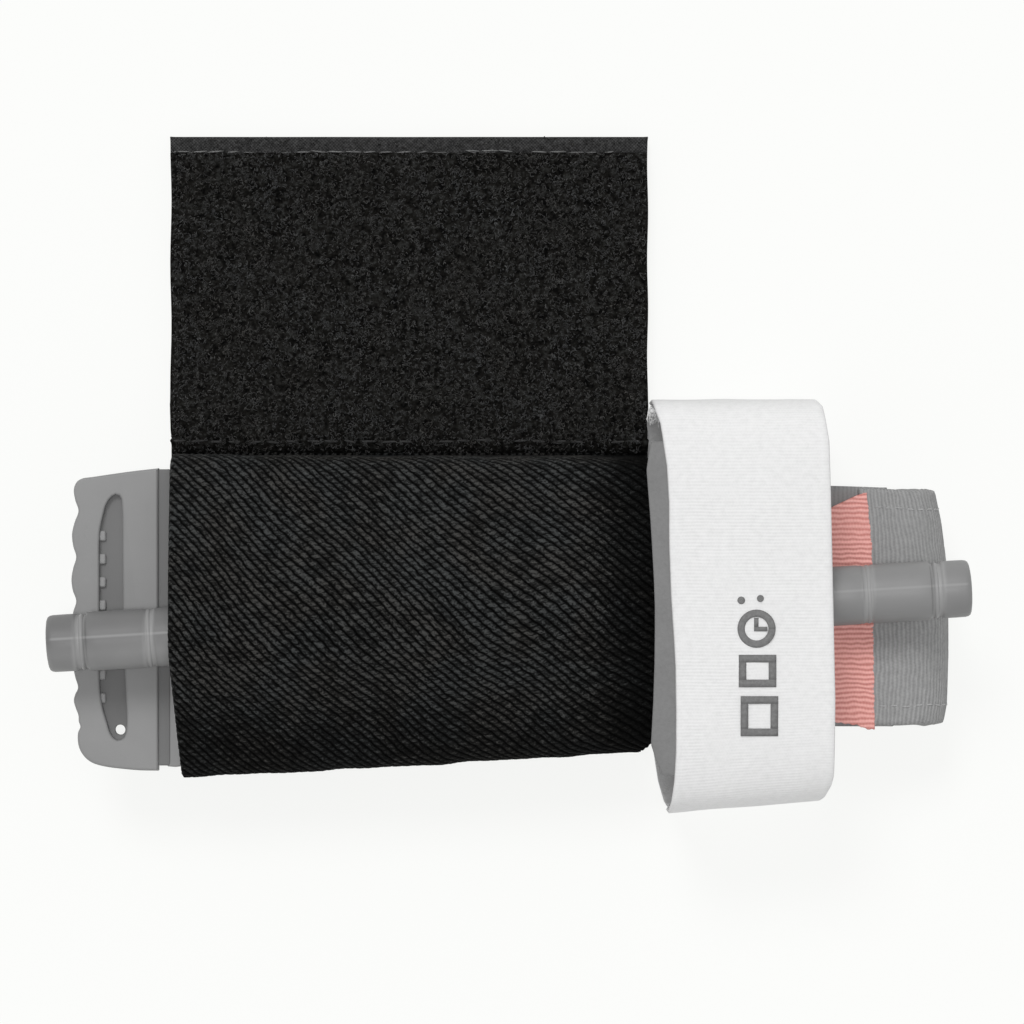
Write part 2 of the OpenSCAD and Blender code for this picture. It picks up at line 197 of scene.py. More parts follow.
def spline(points, count, closed=False):
    """count points evenly spaced along a centripetal Catmull-Rom curve through points (k, d)."""
    p = np.asarray(points, float)
    if closed:
        p = np.concatenate([p[-1:], p, p[:2]])
    else:
        p = np.concatenate([2 * p[:1] - p[1:2], p, 2 * p[-1:] - p[-2:-1]])
    out = []
    for i in range(1, len(p) - 2):
        p0, p1, p2, p3 = p[i - 1 : i + 3]
        d1, d2, d3 = (max(np.linalg.norm(b - a), 1e-9) ** 0.5 for a, b in ((p0, p1), (p1, p2), (p2, p3)))
        m1 = (p1 - p0) / d1 - (p2 - p0) / (d1 + d2) + (p2 - p1) / d2
        m2 = (p2 - p1) / d2 - (p3 - p1) / (d2 + d3) + (p3 - p2) / d3
        t = np.linspace(0, 1, 24, endpoint=False)[:, None]
        h = (2 * t**3 - 3 * t**2 + 1, t**3 - 2 * t**2 + t, -2 * t**3 + 3 * t**2, t**3 - t**2)
        out.append(h[0] * p1 + h[1] * m1 * d2 + h[2] * p2 + h[3] * m2 * d2)
    out.append(p[-2:-1])
    line = np.concatenate(out)
    full = arc_length(line)[-1]
    return resample(line, np.linspace(0, full, count + 1)[:-1] if closed else np.linspace(0, full, count))


def wave(x, y, seed, scale):
    """A smooth pseudo-random field, about -1 to 1, from a few sine waves."""
    r = np.random.default_rng(seed)
    total = 0
    for k in range(6):
        a, f, ph = r.uniform(0, math.tau), r.uniform(0.6, 1.7) / scale, r.uniform(0, math.tau)
        total = total + np.sin((x * math.cos(a) + y * math.sin(a)) * f * math.tau + ph)
    return total / 3.2


UV_STEP = 0.37  # threads lie this far apart in cloth coordinates, so that each can have its own tone


def tubes(name, lines, radius, sides=6, taper=0.35, uv_scale=1.0):
    """Many short round threads along lines (count, points, 3). taper is how thin their ends are."""
    lines = np.asarray(lines, float)
    c, k = lines.shape[:2]
    tangent = np.gradient(lines, axis=1)
    tangent /= np.maximum(np.linalg.norm(tangent, axis=2, keepdims=True), TINY)
    up = np.zeros_like(tangent) + (0.0, 0.0, 1.0)
    up[np.abs(tangent[..., 2]) > 0.9] = (0.0, 1.0, 0.0)
    side = np.cross(tangent, up)
    side /= np.maximum(np.linalg.norm(side, axis=2, keepdims=True), TINY)
    up = np.cross(side, tangent)
    t = np.linspace(0, 1, k)
    fat = radius * (taper + (1 - taper) * np.sqrt(np.clip(np.sin(np.pi * t), 0, 1)))
    ang = np.arange(sides) * math.tau / sides
    round_line = np.cos(ang)[:, None] * side[:, :, None] + np.sin(ang)[:, None] * up[:, :, None]
    ring = lines[:, :, None] + fat[None, :, None, None] * round_line
    ids = np.arange(c * k * sides).reshape(c, k, sides)
    nxt = np.roll(ids, -1, axis=2)
    body = np.stack([ids[:, :-1], nxt[:, :-1], nxt[:, 1:], ids[:, 1:]], axis=-1).reshape(-1, 4)
    caps = np.concatenate([ids[:, 0, ::-1], ids[:, -1]])
    along = t[None, :, None] * uv_scale + np.arange(c)[:, None, None] * UV_STEP
    uv = pairs(ang[None, None, :] / math.tau, along)
    return mesh_object(name, ring.reshape(-1, 3), [body, caps], uv.reshape(-1, 2))


def lathe(name, profile, centre, tilt=0.0, sides=96):
    """Turns a profile of (distance along the axis, radius) about a horizontal axis through centre.
    tilt turns the axis about Z."""
    profile = np.asarray(profile, float)
    ang = np.arange(sides) * math.tau / sides
    x = np.repeat(profile[:, :1], sides, axis=1)
    y, z = profile[:, 1:] * np.sin(ang), profile[:, 1:] * np.cos(ang)
    c, s = math.cos(tilt), math.sin(tilt)
    points = grid_of(x * c - y * s, x * s + y * c, z) + np.asarray(centre)
    ids = np.arange(len(profile) * sides).reshape(len(profile), sides)
    nxt = np.roll(ids, -1, axis=1)
    body = np.stack([ids[:-1], ids[1:], nxt[1:], nxt[:-1]], axis=-1).reshape(-1, 4)
    uv = pairs(arc_length(profile)[:, None], ang[None] * ROD_R)
    caps = np.stack([ids[0], ids[-1, ::-1]])
    return mesh_object(name, points.reshape(-1, 3), [body, caps], uv.reshape(-1, 2))


def slab(name, outlines, low, high, bevel, plane="xy", steps=3):
    """An extruded plate with rounded edges. outlines are closed loops of 2-D points: the outside, then holes.
    plane xy extrudes along z, yz along x."""
    curve = bpy.data.curves.new(name, "CURVE")
    curve.dimensions, curve.fill_mode = "2D", "BOTH"
    curve.extrude = (high - low) / 2 - bevel
    curve.bevel_depth, curve.bevel_resolution, curve.offset = bevel, steps, -bevel
    for loop in outlines:
        s = curve.splines.new("POLY")
        s.points.add(len(loop) - 1)
        flat = np.column_stack([loop, np.zeros(len(loop)), np.ones(len(loop))])
        s.points.foreach_set("co", flat.astype(np.float32).ravel())
        s.use_cyclic_u = True
    temp = bpy.data.objects.new(name + "_curve", curve)
    mesh = bpy.data.meshes.new_from_object(temp)
    bpy.data.objects.remove(temp)
    bpy.data.curves.remove(curve)
    mesh.name = name
    co = vertices_of(mesh) + (0, 0, (low + high) / 2)
    if plane == "yz":
        co = co[:, [2, 0, 1]]
    mesh.vertices.foreach_set("co", place(co).astype(np.float32).ravel())
    build = bmesh.new()
    build.from_mesh(mesh)
    bmesh.ops.remove_doubles(build, verts=build.verts, dist=WELD)
    build.to_mesh(mesh)
    build.free()
    mesh.polygons.foreach_set("use_smooth", np.ones(len(mesh.polygons), bool))
    mesh.set_sharp_from_angle(angle=math.radians(50))
    mesh.update()
    return show(name, mesh)


def box_uv(obj):
    """Cloth coordinates in millimetres from the point's place, seen from above."""
    mesh = obj.data
    loops = np.zeros(len(mesh.loops), np.int32)
    mesh.loops.foreach_get("vertex_index", loops)
    flat = vertices_of(mesh)[loops][:, :2] / MM
    mesh.uv_layers.new(name="Cloth").data.foreach_set("uv", flat.astype(np.float32).ravel())


# ---------------------------------------------------------------- materials

def operation(kind):
    """A Paint method that adds one math node of a kind."""
    return lambda self, *values, **flags: self.node("Math", *values, operation=kind, **flags)


class Paint:
    """A Principled material with helpers that add nodes to it."""

    add, sub, mul, div = operation("ADD"), operation("SUBTRACT"), operation("MULTIPLY"), operation("DIVIDE")
    mad, sine, size = operation("MULTIPLY_ADD"), operation("SINE"), operation("ABSOLUTE")
    floor, fract, power = operation("FLOOR"), operation("FRACT"), operation("POWER")
    modulo, root = operation("MODULO"), operation("SQRT")

    def __init__(self, name, **sockets):
        self.material = bpy.data.materials.new(name)
        self.material.use_nodes = True
        self.tree = self.material.node_tree
        self.shader = self.tree.nodes["Principled BSDF"]
        for key, value in sockets.items():
            self.shader.inputs[key.replace("_", " ")].default_value = value

    def feed(self, socket, value):
        """Links a socket, or sets it to a number, grey or colour."""
        if isinstance(value, bpy.types.NodeSocket):
            self.tree.links.new(value, socket)
        elif socket.type == "RGBA" and isinstance(value, (int, float)):
            socket.default_value = (value, value, value, 1)
        elif value is not None:
            socket.default_value = value

    def node(self, kind, *inputs, out=0, **props):
        n = self.tree.nodes.new("ShaderNode" + kind)
        for key, value in props.items():
            setattr(n, key, value)
        for i, value in enumerate(inputs):
            self.feed(n.inputs[i], value)
        return n.outputs[out]

    def split(self, vector):
        """The first two parts of a vector."""
        n = self.tree.nodes.new("ShaderNodeSeparateXYZ")
        self.feed(n.inputs[0], vector)
        return n.outputs[0], n.outputs[1]

    def half_wave(self, value):
        """A sine wave of value, from 0 to 1."""
        return self.mad(self.sine(value), 0.5, 0.5)

    def cloth(self):
        """The two cloth coordinates, in millimetres."""
        return self.split(self.node("UVMap", uv_map="Cloth"))

    def place(self):
        return self.node("TexCoord", out=3)

    def axes(self):
        """The point's own x and y in the row frame, in metres."""
        return self.split(self.place())

    def span(self, value, a, b, at_a, at_b):
        """Goes smoothly from at_a where value is a to at_b where it is b."""
        return self.node("MapRange", value, a, b, at_a, at_b, interpolation_type="SMOOTHSTEP")

    def noise(self, vector, scale, detail=2.0, rough=0.5):
        n = self.tree.nodes.new("ShaderNodeTexNoise")
        for key, value in (("Scale", scale), ("Detail", detail), ("Roughness", rough), ("Vector", vector)):
            self.feed(n.inputs[key], value)
        return n.outputs["Fac"]

    def vector(self, x, y, z=0.0):
        return self.node("CombineXYZ", x, y, z)

    def ramp(self, value, *stops):
        """Colours by value: stops are (place, grey or (r, g, b))."""
        n = self.tree.nodes.new("ShaderNodeValToRGB")
        self.tree.links.new(value, n.inputs[0])
        e = n.color_ramp.elements
        while len(e) < len(stops):
            e.new(0.5)
        for item, (at, c) in zip(e, stops):
            item.position = at
            item.color = (*((c, c, c) if isinstance(c, (int, float)) else c), 1.0)
        return n.outputs[0]

    def mix(self, fac, a, b, blend="MIX"):
        n = self.tree.nodes.new("ShaderNodeMix")
        n.data_type, n.blend_type = "RGBA", blend
        for i, value in ((0, fac), (6, a), (7, b)):
            self.feed(n.inputs[i], value)
        return n.outputs[2]

    def colour(self, socket):
        self.tree.links.new(socket, self.shader.inputs["Base Color"])

    def rough(self, socket):
        self.tree.links.new(socket, self.shader.inputs["Roughness"])

    def bump(self, height, distance_mm, strength=1.0):
        n = self.tree.nodes.new("ShaderNodeBump")
        n.inputs["Strength"].default_value = strength
        n.inputs["Distance"].default_value = distance_mm * MM
        self.tree.links.new(height, n.inputs["Height"])
        self.tree.links.new(n.outputs[0], self.shader.inputs["Normal"])


def put(obj, paint):
    """Makes a paint the object's only material."""
    obj.data.materials.clear()
    obj.data.materials.append(paint.material)
    return obj


def lin(v):
    """Linear value of an sRGB level from 0 to 255."""
    v = v / 255
    return v / 12.92 if v <= 0.04045 else ((v + 0.055) / 1.055) ** 2.4


def grey(v):
    """A grey colour from an sRGB level."""
    return (lin(v), lin(v), lin(v), 1.0)


BEAD_SKEW = -0.4  # how far a bead leans along its cord, in beads from the cord's middle to its side


def twill_paint():
    """Black elastic: twisted cords side by side with deep valleys between them.
    Its cloth coordinates count cords, and beads along them."""
    p = Paint("elastic_twill", Roughness=0.75, Specular_IOR_Level=0.05)
    across, along = p.cloth()
    cord = p.floor(across)
    f = p.mad(p.fract(across), 2.0, -1.0)
    round_cord = p.power(p.sub(1.0, p.mul(f, f)), 0.75)
    jog = p.mad(cord, 0.382, p.mul(p.sine(p.mul(cord, 1.7)), 0.3))
    run = p.add(p.mad(f, BEAD_SKEW, along), jog)
    g = p.mad(p.fract(run), 2.0, -1.0)
    bead = p.sub(1.0, p.mul(g, g))
    fibre = p.noise(p.vector(p.mul(across, 1.5), run), 2.7, 2.0, 0.6)
    height = p.mul(round_cord, p.mad(bead, 0.37, 0.64))
    height = p.mul(height, p.mad(fibre, 2.6, -0.22))
    chance = p.node("TexWhiteNoise", p.vector(p.floor(run), cord), noise_dimensions="2D")
    patch = p.noise(p.vector(across, along), 0.07, 3.0, 0.55)
    tone = p.mad(chance, 0.36, p.mad(patch, 0.24, 0.53))
    # Painted shade: the tone is made darker on the lower slope (y) and towards the right end beside the strap
    # (x), where shade falls.
    x, y = p.axes()
    low = p.span(y, -0.031, -0.047, 1.0, 0.66)
    end = p.span(x, 0.009, 0.0225, 1.0, 0.5)
    tone = p.mul(tone, p.mul(low, end))
    # The ramp by height paints highlights on the bead tops and shade in the valleys between the cords.
    level = p.ramp(p.mul(height, tone), (0.12, 0.0004), (0.4, 0.006), (0.66, 0.023), (0.95, 0.07))
    tint = p.ramp(p.noise(p.place(), 120, 2.0), (0.38, (1.03, 1.01, 0.96)), (0.62, (0.96, 1.01, 1.01)))
    p.colour(p.mix(1.0, level, tint, "MULTIPLY"))
    p.bump(height, 0.3, 1.0)
    return p


def pile_paint():
    """The dark ground of the loop panel, under its fibres."""
    p = Paint("loop_ground", Roughness=0.9, Specular_IOR_Level=0.06)
    at = p.place()
    clump = p.noise(at, 1200, 6.0, 0.7)
    p.colour(p.ramp(clump, (0.39, 0.0008), (0.52, (0.0095, 0.009, 0.008)), (0.68, (0.034, 0.035, 0.034))))
    p.bump(clump, 0.5, 0.9)
    return p


def fibre_paint(name, dark, light):
    """Fine fibres whose colour changes from one to the next and along each."""
    p = Paint(name, Roughness=0.55, Specular_IOR_Level=0.18, Sheen_Weight=0.1)
    u, v = p.cloth()
    strand = p.floor(p.mul(v, 2.7027))  # 1 / UV_STEP
    by_strand = p.node("TexWhiteNoise", None, strand, noise_dimensions="1D")
    cloud = p.noise(p.place(), 720, 4.0, 0.7)
    value = p.mad(by_strand, 0.4, p.mad(cloud, 2.0, -0.7))
    level = p.ramp(value, (0.15, dark), (0.6, (dark + light) * 0.36), (0.95, light))
    tint = p.ramp(p.noise(p.place(), 150, 3.0), (0.35, (0.84, 0.8, 0.73)), (0.65, (1.11, 1.15, 1.17)))
    p.colour(p.mix(1.0, level, tint, "MULTIPLY"))
    return p


def tape_paint(name, level, spread, pitch=0.45):
    """Plain woven tape: a fine over-and-under weave."""
    p = Paint(name, Roughness=0.8, Specular_IOR_Level=0.12)
    u, v = p.cloth()
    a = p.sine(p.mul(u, math.tau / pitch))
    b = p.sine(p.mul(v, math.tau / pitch))
    weave = p.mad(p.mul(a, b), 0.5, 0.5)
    cloud = p.noise(p.vector(u, v), 1.3, 4.0, 0.7)
    value = p.mad(weave, 0.22, p.mul(cloud, 0.78))
    p.colour(p.ramp(value, (0.3, lin(level - spread)), (0.5, lin(level)), (0.7, lin(level + spread))))
    p.bump(weave, 0.12, 0.8)
    return p


def hook_paint():
    """Hook tape: rows of small stiff hooks on a dark ground."""
    p = Paint("hook_tape", Roughness=0.6, Specular_IOR_Level=0.2)
    u, v = p.cloth()
    jog = p.mul(p.modulo(p.floor(p.div(v, 1.2)), 2.0), 0.7)
    a = p.sub(p.fract(p.div(p.add(u, jog), 1.4)), 0.5)
    b = p.sub(p.fract(p.div(v, 1.2)), 0.5)
    far = p.root(p.mad(a, a, p.mul(b, b)))
    hook = p.sub(1.0, p.mul(far, 2.6), use_clamp=True)
    grain = p.noise(p.vector(u, v), 3.0, 3.0)
    value = p.mad(hook, 0.6, p.mul(grain, 0.4))
    p.colour(p.ramp(value, (0.1, 0.004), (0.5, 0.014), (0.9, 0.05)))
    p.bump(hook, 0.7, 1.0)
    return p


TIP_SHADE = ((0.0445, 0.046), (0.0556, 0.0562))  # where the shade by the red tip starts and ends, x in metres


def rib_paint(name, dark, mid, light, pitch, along_u, sway, relief, speck,
              strength=1.0, wear_and_shade=None, share=0.42):
    """Ribbed webbing: rounded ribs at a pitch, a fine cross thread, and slow changes of tone.
    share is how much of the tone the ribs give, and speck adds more cloud. wear_and_shade is for the long
    band: painted shade where it runs under the buckle."""
    p = Paint(name, Roughness=0.8, Specular_IOR_Level=0.15)
    u, v = p.cloth()
    s, w = (u, v) if along_u else (v, u)
    bend = p.noise(p.vector(u, v), 0.16, 2.0)
    bend = p.mad(p.noise(p.vector(u, v), 0.75, 3.0, 0.6), 0.45, bend)
    phase = p.add(p.div(s, pitch), p.mul(bend, sway * 4))
    rib = p.half_wave(p.mul(phase, math.tau))
    thread = p.half_wave(p.mad(w, math.tau / 0.5, p.mul(p.floor(phase), 3.1)))
    cloud = p.noise(p.vector(u, v), 0.9, 5.0, 0.65)
    value = p.mad(cloud, 0.82 - share + speck, p.mad(thread, 0.1, -0.05 - speck / 2))
    value = p.mad(rib, share, value)
    if wear_and_shade:  # x values between which the ribs go flat and the colour goes to an even darker grey: painted shade where the band lies under the buckle
        flat = p.span(p.axes()[0], *wear_and_shade, 1.0, 0.0)
        value = p.mad(value, flat, p.mad(flat, -0.06, 0.06))
        rib = p.mul(rib, flat)
        start, end = TIP_SHADE
        shade = p.mul(p.span(p.axes()[0], *start, 0.0, 0.75), p.span(p.axes()[0], *end, 1.0, 0.0))
        value = p.mul(value, p.sub(1.0, shade))
    p.colour(p.ramp(value, (0.0, lin(124) if wear_and_shade else dark), (0.1, dark), (0.45, mid), (0.85, light)))
    p.bump(p.mad(thread, 0.2, rib), relief, strength)
    return p


def fuzz_paint(name, level, spread):
    """Grey hook lining seen inside the time strap. It glows a little, for light between the layers."""
    glow = dict(Emission_Strength=0.08, Emission_Color=(1, 1, 1, 1))
    p = Paint(name, Roughness=0.85, Specular_IOR_Level=0.1, **glow)
    at = p.place()
    fine, slow = p.noise(at, 1500, 4.0, 0.7), p.noise(at, 160, 3.0, 0.6)
    value = p.mad(fine, 0.5, p.mul(slow, 0.5))
    p.colour(p.ramp(value, (0.3, lin(level - spread)), (0.5, lin(level)), (0.72, lin(level + spread))))
    p.bump(fine, 0.3, 0.7)
    return p


RING_AT = (35.7, 46.7, 57.7, 68.9)  # the rod's grooves, from its middle
RING_SHAPE = ((-1.7, 0.0), (-1.3, 0.5), (-0.1, 0.5), (0.3, 0.0))
RING_SPAN = 80  # the length that the rings' ramp covers


def rod_light_and_shade(p, base, level):
    """Painted shade on one side at the rod's buckle end, a pale painted highlight line along the rod, and
    painted light that makes its grooves paler.
    """
    x, y = p.axes()
    side = p.mad(p.mad(x, -math.tan(ROD_TILT), y), 1 / (ROD_R * MM), (MID_Y - ROD_CENTRE[1]) / ROD_R)
    # Painted shade: darker on one side of the rod at its buckle end.
    side_shade = p.mul(p.span(side, -0.5, 0.12, 0.0, 0.31), p.span(x, -0.035, -0.015, 1.0, 0.0))
    base = p.mix(1.0, base, p.sub(1.0, side_shade), "MULTIPLY")
    # A pale painted highlight line along the rod.
    line = p.ramp(side, (0.1, 0.0), (0.15, 0.6), (0.18, 0.6), (0.23, 0.0))
    highlight_line = p.mul(line, p.span(p.size(x), 0.0722, 0.073, 1.0, 0.0))
    base = p.mix(highlight_line, base, grey(level + 18))
    # Painted light: the grooves are painted paler, against the shade that falls in them.
    stops = [((at + k) / RING_SPAN, v) for at in RING_AT for k, v in RING_SHAPE]
    rings = p.ramp(p.mul(p.size(x), 1 / (RING_SPAN * MM)), *stops)
    return p.mix(rings, base, grey(level + 30))


def plastic_paint(name, level, rough, coat=0.0, wear_and_shade=0.35, rod=False):
    """Moulded grey plastic: fine spark-eroded texture, slow mottling, worn paler edges."""
    p = Paint(name, Specular_IOR_Level=0.35, Coat_Weight=coat, Coat_Roughness=0.3)
    at = p.place()
    grain, slow = p.noise(at, 4200, 2.0, 0.6), p.noise(at, 75, 3.0, 0.55)
    base = p.ramp(slow, (0.3, lin(level - 4)), (0.7, lin(level + 4)))
    # The rod gets painted shade and painted light over its plastic colour.
    if rod:
        base = rod_light_and_shade(p, base, level)
    if wear_and_shade:
        wear = p.ramp(p.node("NewGeometry", out=7), (0.5, 0.0), (0.58, 1.0))
        base = p.mix(p.mul(wear, wear_and_shade), base, grey(level + 18))
    p.colour(base)
    p.rough(p.mad(slow, 0.16, p.mad(grain, 0.08, rough - 0.12)))
    p.bump(grain, 0.05, 0.35)
    return p


def thread_paint(name, level, spread):
    """Sewing thread: two plies twisted, with slight fuzz in its tone."""
    p = Paint(name, Roughness=0.6, Specular_IOR_Level=0.2, Sheen_Weight=0.1)
    u, v = p.cloth()
    twist = p.half_wave(p.mad(u, math.tau * 2, p.mul(v, 22.0)))
    tone = p.noise(p.place(), 700, 2.0)
    value = p.mad(twist, 0.5, p.mul(tone, 0.5))
    p.colour(p.ramp(value, (0.15, lin(max(level - spread, 2))), (0.8, lin(level + spread))))
    p.bump(twist, 0.08, 0.6)
    return p


def ink_paint():
    """Printed ink, slightly uneven over the ribs."""
    p = Paint("print_ink", Roughness=0.7, Specular_IOR_Level=0.15)
    tone = p.noise(p.place(), 1800, 3.0, 0.7)
    p.colour(p.ramp(tone, (0.3, lin(108)), (0.7, lin(130))))
    p.bump(tone, 0.03, 0.4)
    return p


BAND_RIB, RED_RIB, STRAP_RIB = 0.69, 0.76, 0.535  # rib pitches

TWILL = twill_paint()
PILE = pile_paint()
PILE_FIBRE = fibre_paint("loop_fibres", 0.002, 0.077)
BACKING = tape_paint("backing_tape", 49, 26, 0.55)
HOOKS = hook_paint()
BAND = rib_paint("band_webbing", lin(136), lin(150), lin(166), BAND_RIB, True,
                 sway=0.4, relief=0.05, speck=0.5, wear_and_shade=(-0.058, -0.0605))
BAND_INSIDE = tape_paint("inner_webbing", 118, 10, 0.7)
RED = rib_paint("red_tape", (0.57, 0.225, 0.2), (0.77, 0.37, 0.335), (0.93, 0.5, 0.46), 0.8, False,
                sway=0.12, relief=0.05, speck=0.2, share=0.6)
WHITE = rib_paint("white_tape", 0.735, 0.785, 0.825, STRAP_RIB, False, sway=0.3, relief=0.015, speck=0.8,
                  strength=0.5, share=0.22)
# Painted light and shade: the lining inside the ring is painted pale to make up for the shade there, and the
# lip's copy of it is painted darker because direct light reaches it, so both come out the same grey.
LINING = fuzz_paint("strap_lining", 170, 20)
LINING_EDGE = fuzz_paint("strap_lining_edge", 104, 9)
PLASTIC = plastic_paint("moulded_grey", 135, 0.5)
# Painted shade: a darker copy of the grey plastic, for the buckle's recess and step, where shade falls.
PLASTIC_SHADED = plastic_paint("moulded_grey_recess_painted_shade", 105, 0.6)
ROD_PLASTIC = plastic_paint("rod_grey", 133, 0.5, coat=0.05, wear_and_shade=0.0, rod=True)
PALE_THREAD = thread_paint("pale_thread", 112, 40)
DARK_THREAD = thread_paint("dark_thread", 52, 16)
GREY_THREAD = thread_paint("grey_thread", 185, 14)
INK = ink_paint()


# ---------------------------------------------------------------- shared shapes

def smooth01(x):
    """Goes smoothly from 0 at x = 0 to 1 at x = 1."""
    x = np.clip(x, 0, 1)
    return x * x * (3 - 2 * x)


def arc(cx, cy, r, a0, a1, count):
    """Points on a circle from angle a0 to a1, in degrees."""
    a = np.radians(np.linspace(a0, a1, count))
    return np.stack([cx + r * np.cos(a), cy + r * np.sin(a)], axis=1)


def normals_along(line):
    """Unit normals of a 2-D line, on its left."""
    tangent = np.gradient(line, axis=0)
    tangent /= np.linalg.norm(tangent, axis=1, keepdims=True)
    return np.stack([-tangent[:, 1], tangent[:, 0]], axis=1)


def thinned(count, outer=0.62):
    """How thick a strip is across its width: full, and thinner at its two edges."""
    edge = np.ones(count)
    edge[[0, -1]], edge[[1, -2]] = outer, 0.92
    return edge


def ribbon(name, mid, across, half_t, relief=None, shift=None):
    """A strip along a line of (x, z) points. across holds its y places, and half_t is half of its thickness.
    relief(s, y) lifts its outer face, and shift(points) moves the finished points."""
    s, normal = arc_length(mid), normals_along(mid)
    ss, yy = np.meshgrid(s, across, indexing="ij")
    edge = thinned(len(across))
    up = half_t * edge[None, :] + (0 if relief is None else relief(ss, yy))
    sides = []
    for h in (up, -half_t * edge[None, :] + 0 * ss):
        g = grid_of(mid[:, None, 0] + normal[:, None, 0] * h, yy, mid[:, None, 1] + normal[:, None, 1] * h)
        sides.append(g if shift is None else shift(g))
    return shell(name, sides[0], 2 * half_t, pairs(ss, yy), inner=sides[1])


def merge(name, objects):
    """Joins several objects into one piece."""
    first = objects[0]
    with bpy.context.temp_override(active_object=first, object=first, selected_editable_objects=objects):
        bpy.ops.object.join()
    first.name = first.data.name = name
    return first


def between(left, right, u):
    """Rows from left to right: u holds the share of the way for each row."""
    return left[None, :] * (1 - u[:, None]) + right[None, :] * u[:, None]


def keep(obj, paint, body, slot, *nodes):
    """Gives a piece its material and body, and hides the CAD nodes that it stands for. slot is not used."""
    if paint:
        put(obj, paint)
    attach(obj, body)
    if nodes:
        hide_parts(*nodes)
    return obj


def strands(start, way, curl, count):
    """Lines of count points, each from its start along its way, bowed by its curl."""
    t = np.linspace(0, 1, count)[:, None]
    return start[:, None] + t * way[:, None] + np.sin(np.pi * t) * np.expand_dims(curl, -2)


def thread_rows(name, starts, ends, lift, radius, sag=0.12):
    """Stitches between pairs of points: each lies on the surface, with its ends pressed in."""
    starts, ends = np.asarray(starts, float), np.asarray(ends, float)
    t = np.linspace(0, 1, 7)[None, :, None]
    lines = starts[:, None] * (1 - t) + ends[:, None] * t
    lines[..., 2] += (lift + radius * 0.6) * np.sin(np.pi * t[..., 0]) ** 0.5 - sag
    return tubes(name, lines, radius, uv_scale=8)


# ---------------------------------------------------------------- holder: sleeve

# The outlines (y, z, x) of the sleeve's two ends, from its seam over the top and round underneath
SLEEVE_LEFT = np.array([
    (24.3, 3.4, -54.3), (24.25, 8, -54.2), (24.2, 13, -54.1), (24.05, 17.5, -53.95), (22.9, 20.2, -53.95),
    (14, 25.3, -53.8), (5, 29.9, -53.6), (-1.5, 31.9, -53.5), (-4.8, 32.15, -53.5), (-8.3, 31.6, -53.4),
    (-13, 28.6, -53.1), (-20, 23.6, -52.7), (-26.0, 19.3, -52.35), (-27.7, 16.5, -52.3), (-27.2, 12.5, -52.4),
    (-25.2, 6.5, -52.6), (-22.6, 1.6, -52.8), (-19.5, 0.05, -52.9), (-10, 0, -53.1), (10, 0, -53.6),
    (20, 0, -54.0), (23.2, 0.8, -54.2), (24.3, 1.4, -54.3),
])
SLEEVE_RIGHT = np.array([
    (24.3, 3.4, 22.4), (24.1, 8, 22.3), (23.8, 13, 22.2), (23.2, 17.5, 22.1), (21.8, 20.6, 22.2),
    (14, 25.6, 22.7), (9, 28.7, 22.9), (4.5, 31.4, 23.1), (0.2, 32.15, 23.2), (-4.0, 31.6, 23.25),
    (-8.5, 29.0, 23.25), (-15, 24.7, 23.2), (-21.6, 20.4, 22.9), (-23.4, 17.2, 21.2), (-23.6, 13.0, 20.8),
    (-23.0, 6.5, 21.0), (-21.9, 1.8, 21.6), (-19.2, 0.05, 21.9), (-10, 0, 22.1), (10, 0, 22.1), (20, 0, 21.9),
    (23.2, 0.8, 21.9), (24.3, 1.4, 22.1),
])
ELASTIC_T = 1.2
CORD, BEAD = 1.22, 1.03  # the width of a cord and the length of a bead along it
ROUND_POINTS = 900


def sleeve_grid(rows, columns):
    """The tube's points, from its left end to its right. They lie closer together over its top."""
    left, right = SLEEVE_LEFT[::-1][:, [2, 0, 1]], SLEEVE_RIGHT[::-1][:, [2, 0, 1]]
    middle = spline((left + right) / 2, ROUND_POINTS, closed=True)
    weight = np.where(middle[:, 2] > 13, 1.0, 0.28)
    weight = np.concatenate([weight[-20:], weight, weight[:20]])
    weight = np.convolve(weight, np.ones(21) / 21, "same")[20:-20]
    where = np.concatenate([[0], np.cumsum(weight)])
    at = np.arange(ROUND_POINTS + 1)
    picks = np.interp(np.linspace(0, where[-1], columns + 1)[:-1], where, at)
    grid = []
    for u in np.linspace(0, 1, rows):
        ring = spline(left * (1 - u) + right * u, ROUND_POINTS, closed=True)
        ring = np.concatenate([ring, ring[:1]])
        grid.append(grid_of(*(np.interp(picks, at, ring[:, k]) for k in range(3))))
    return np.array(grid)


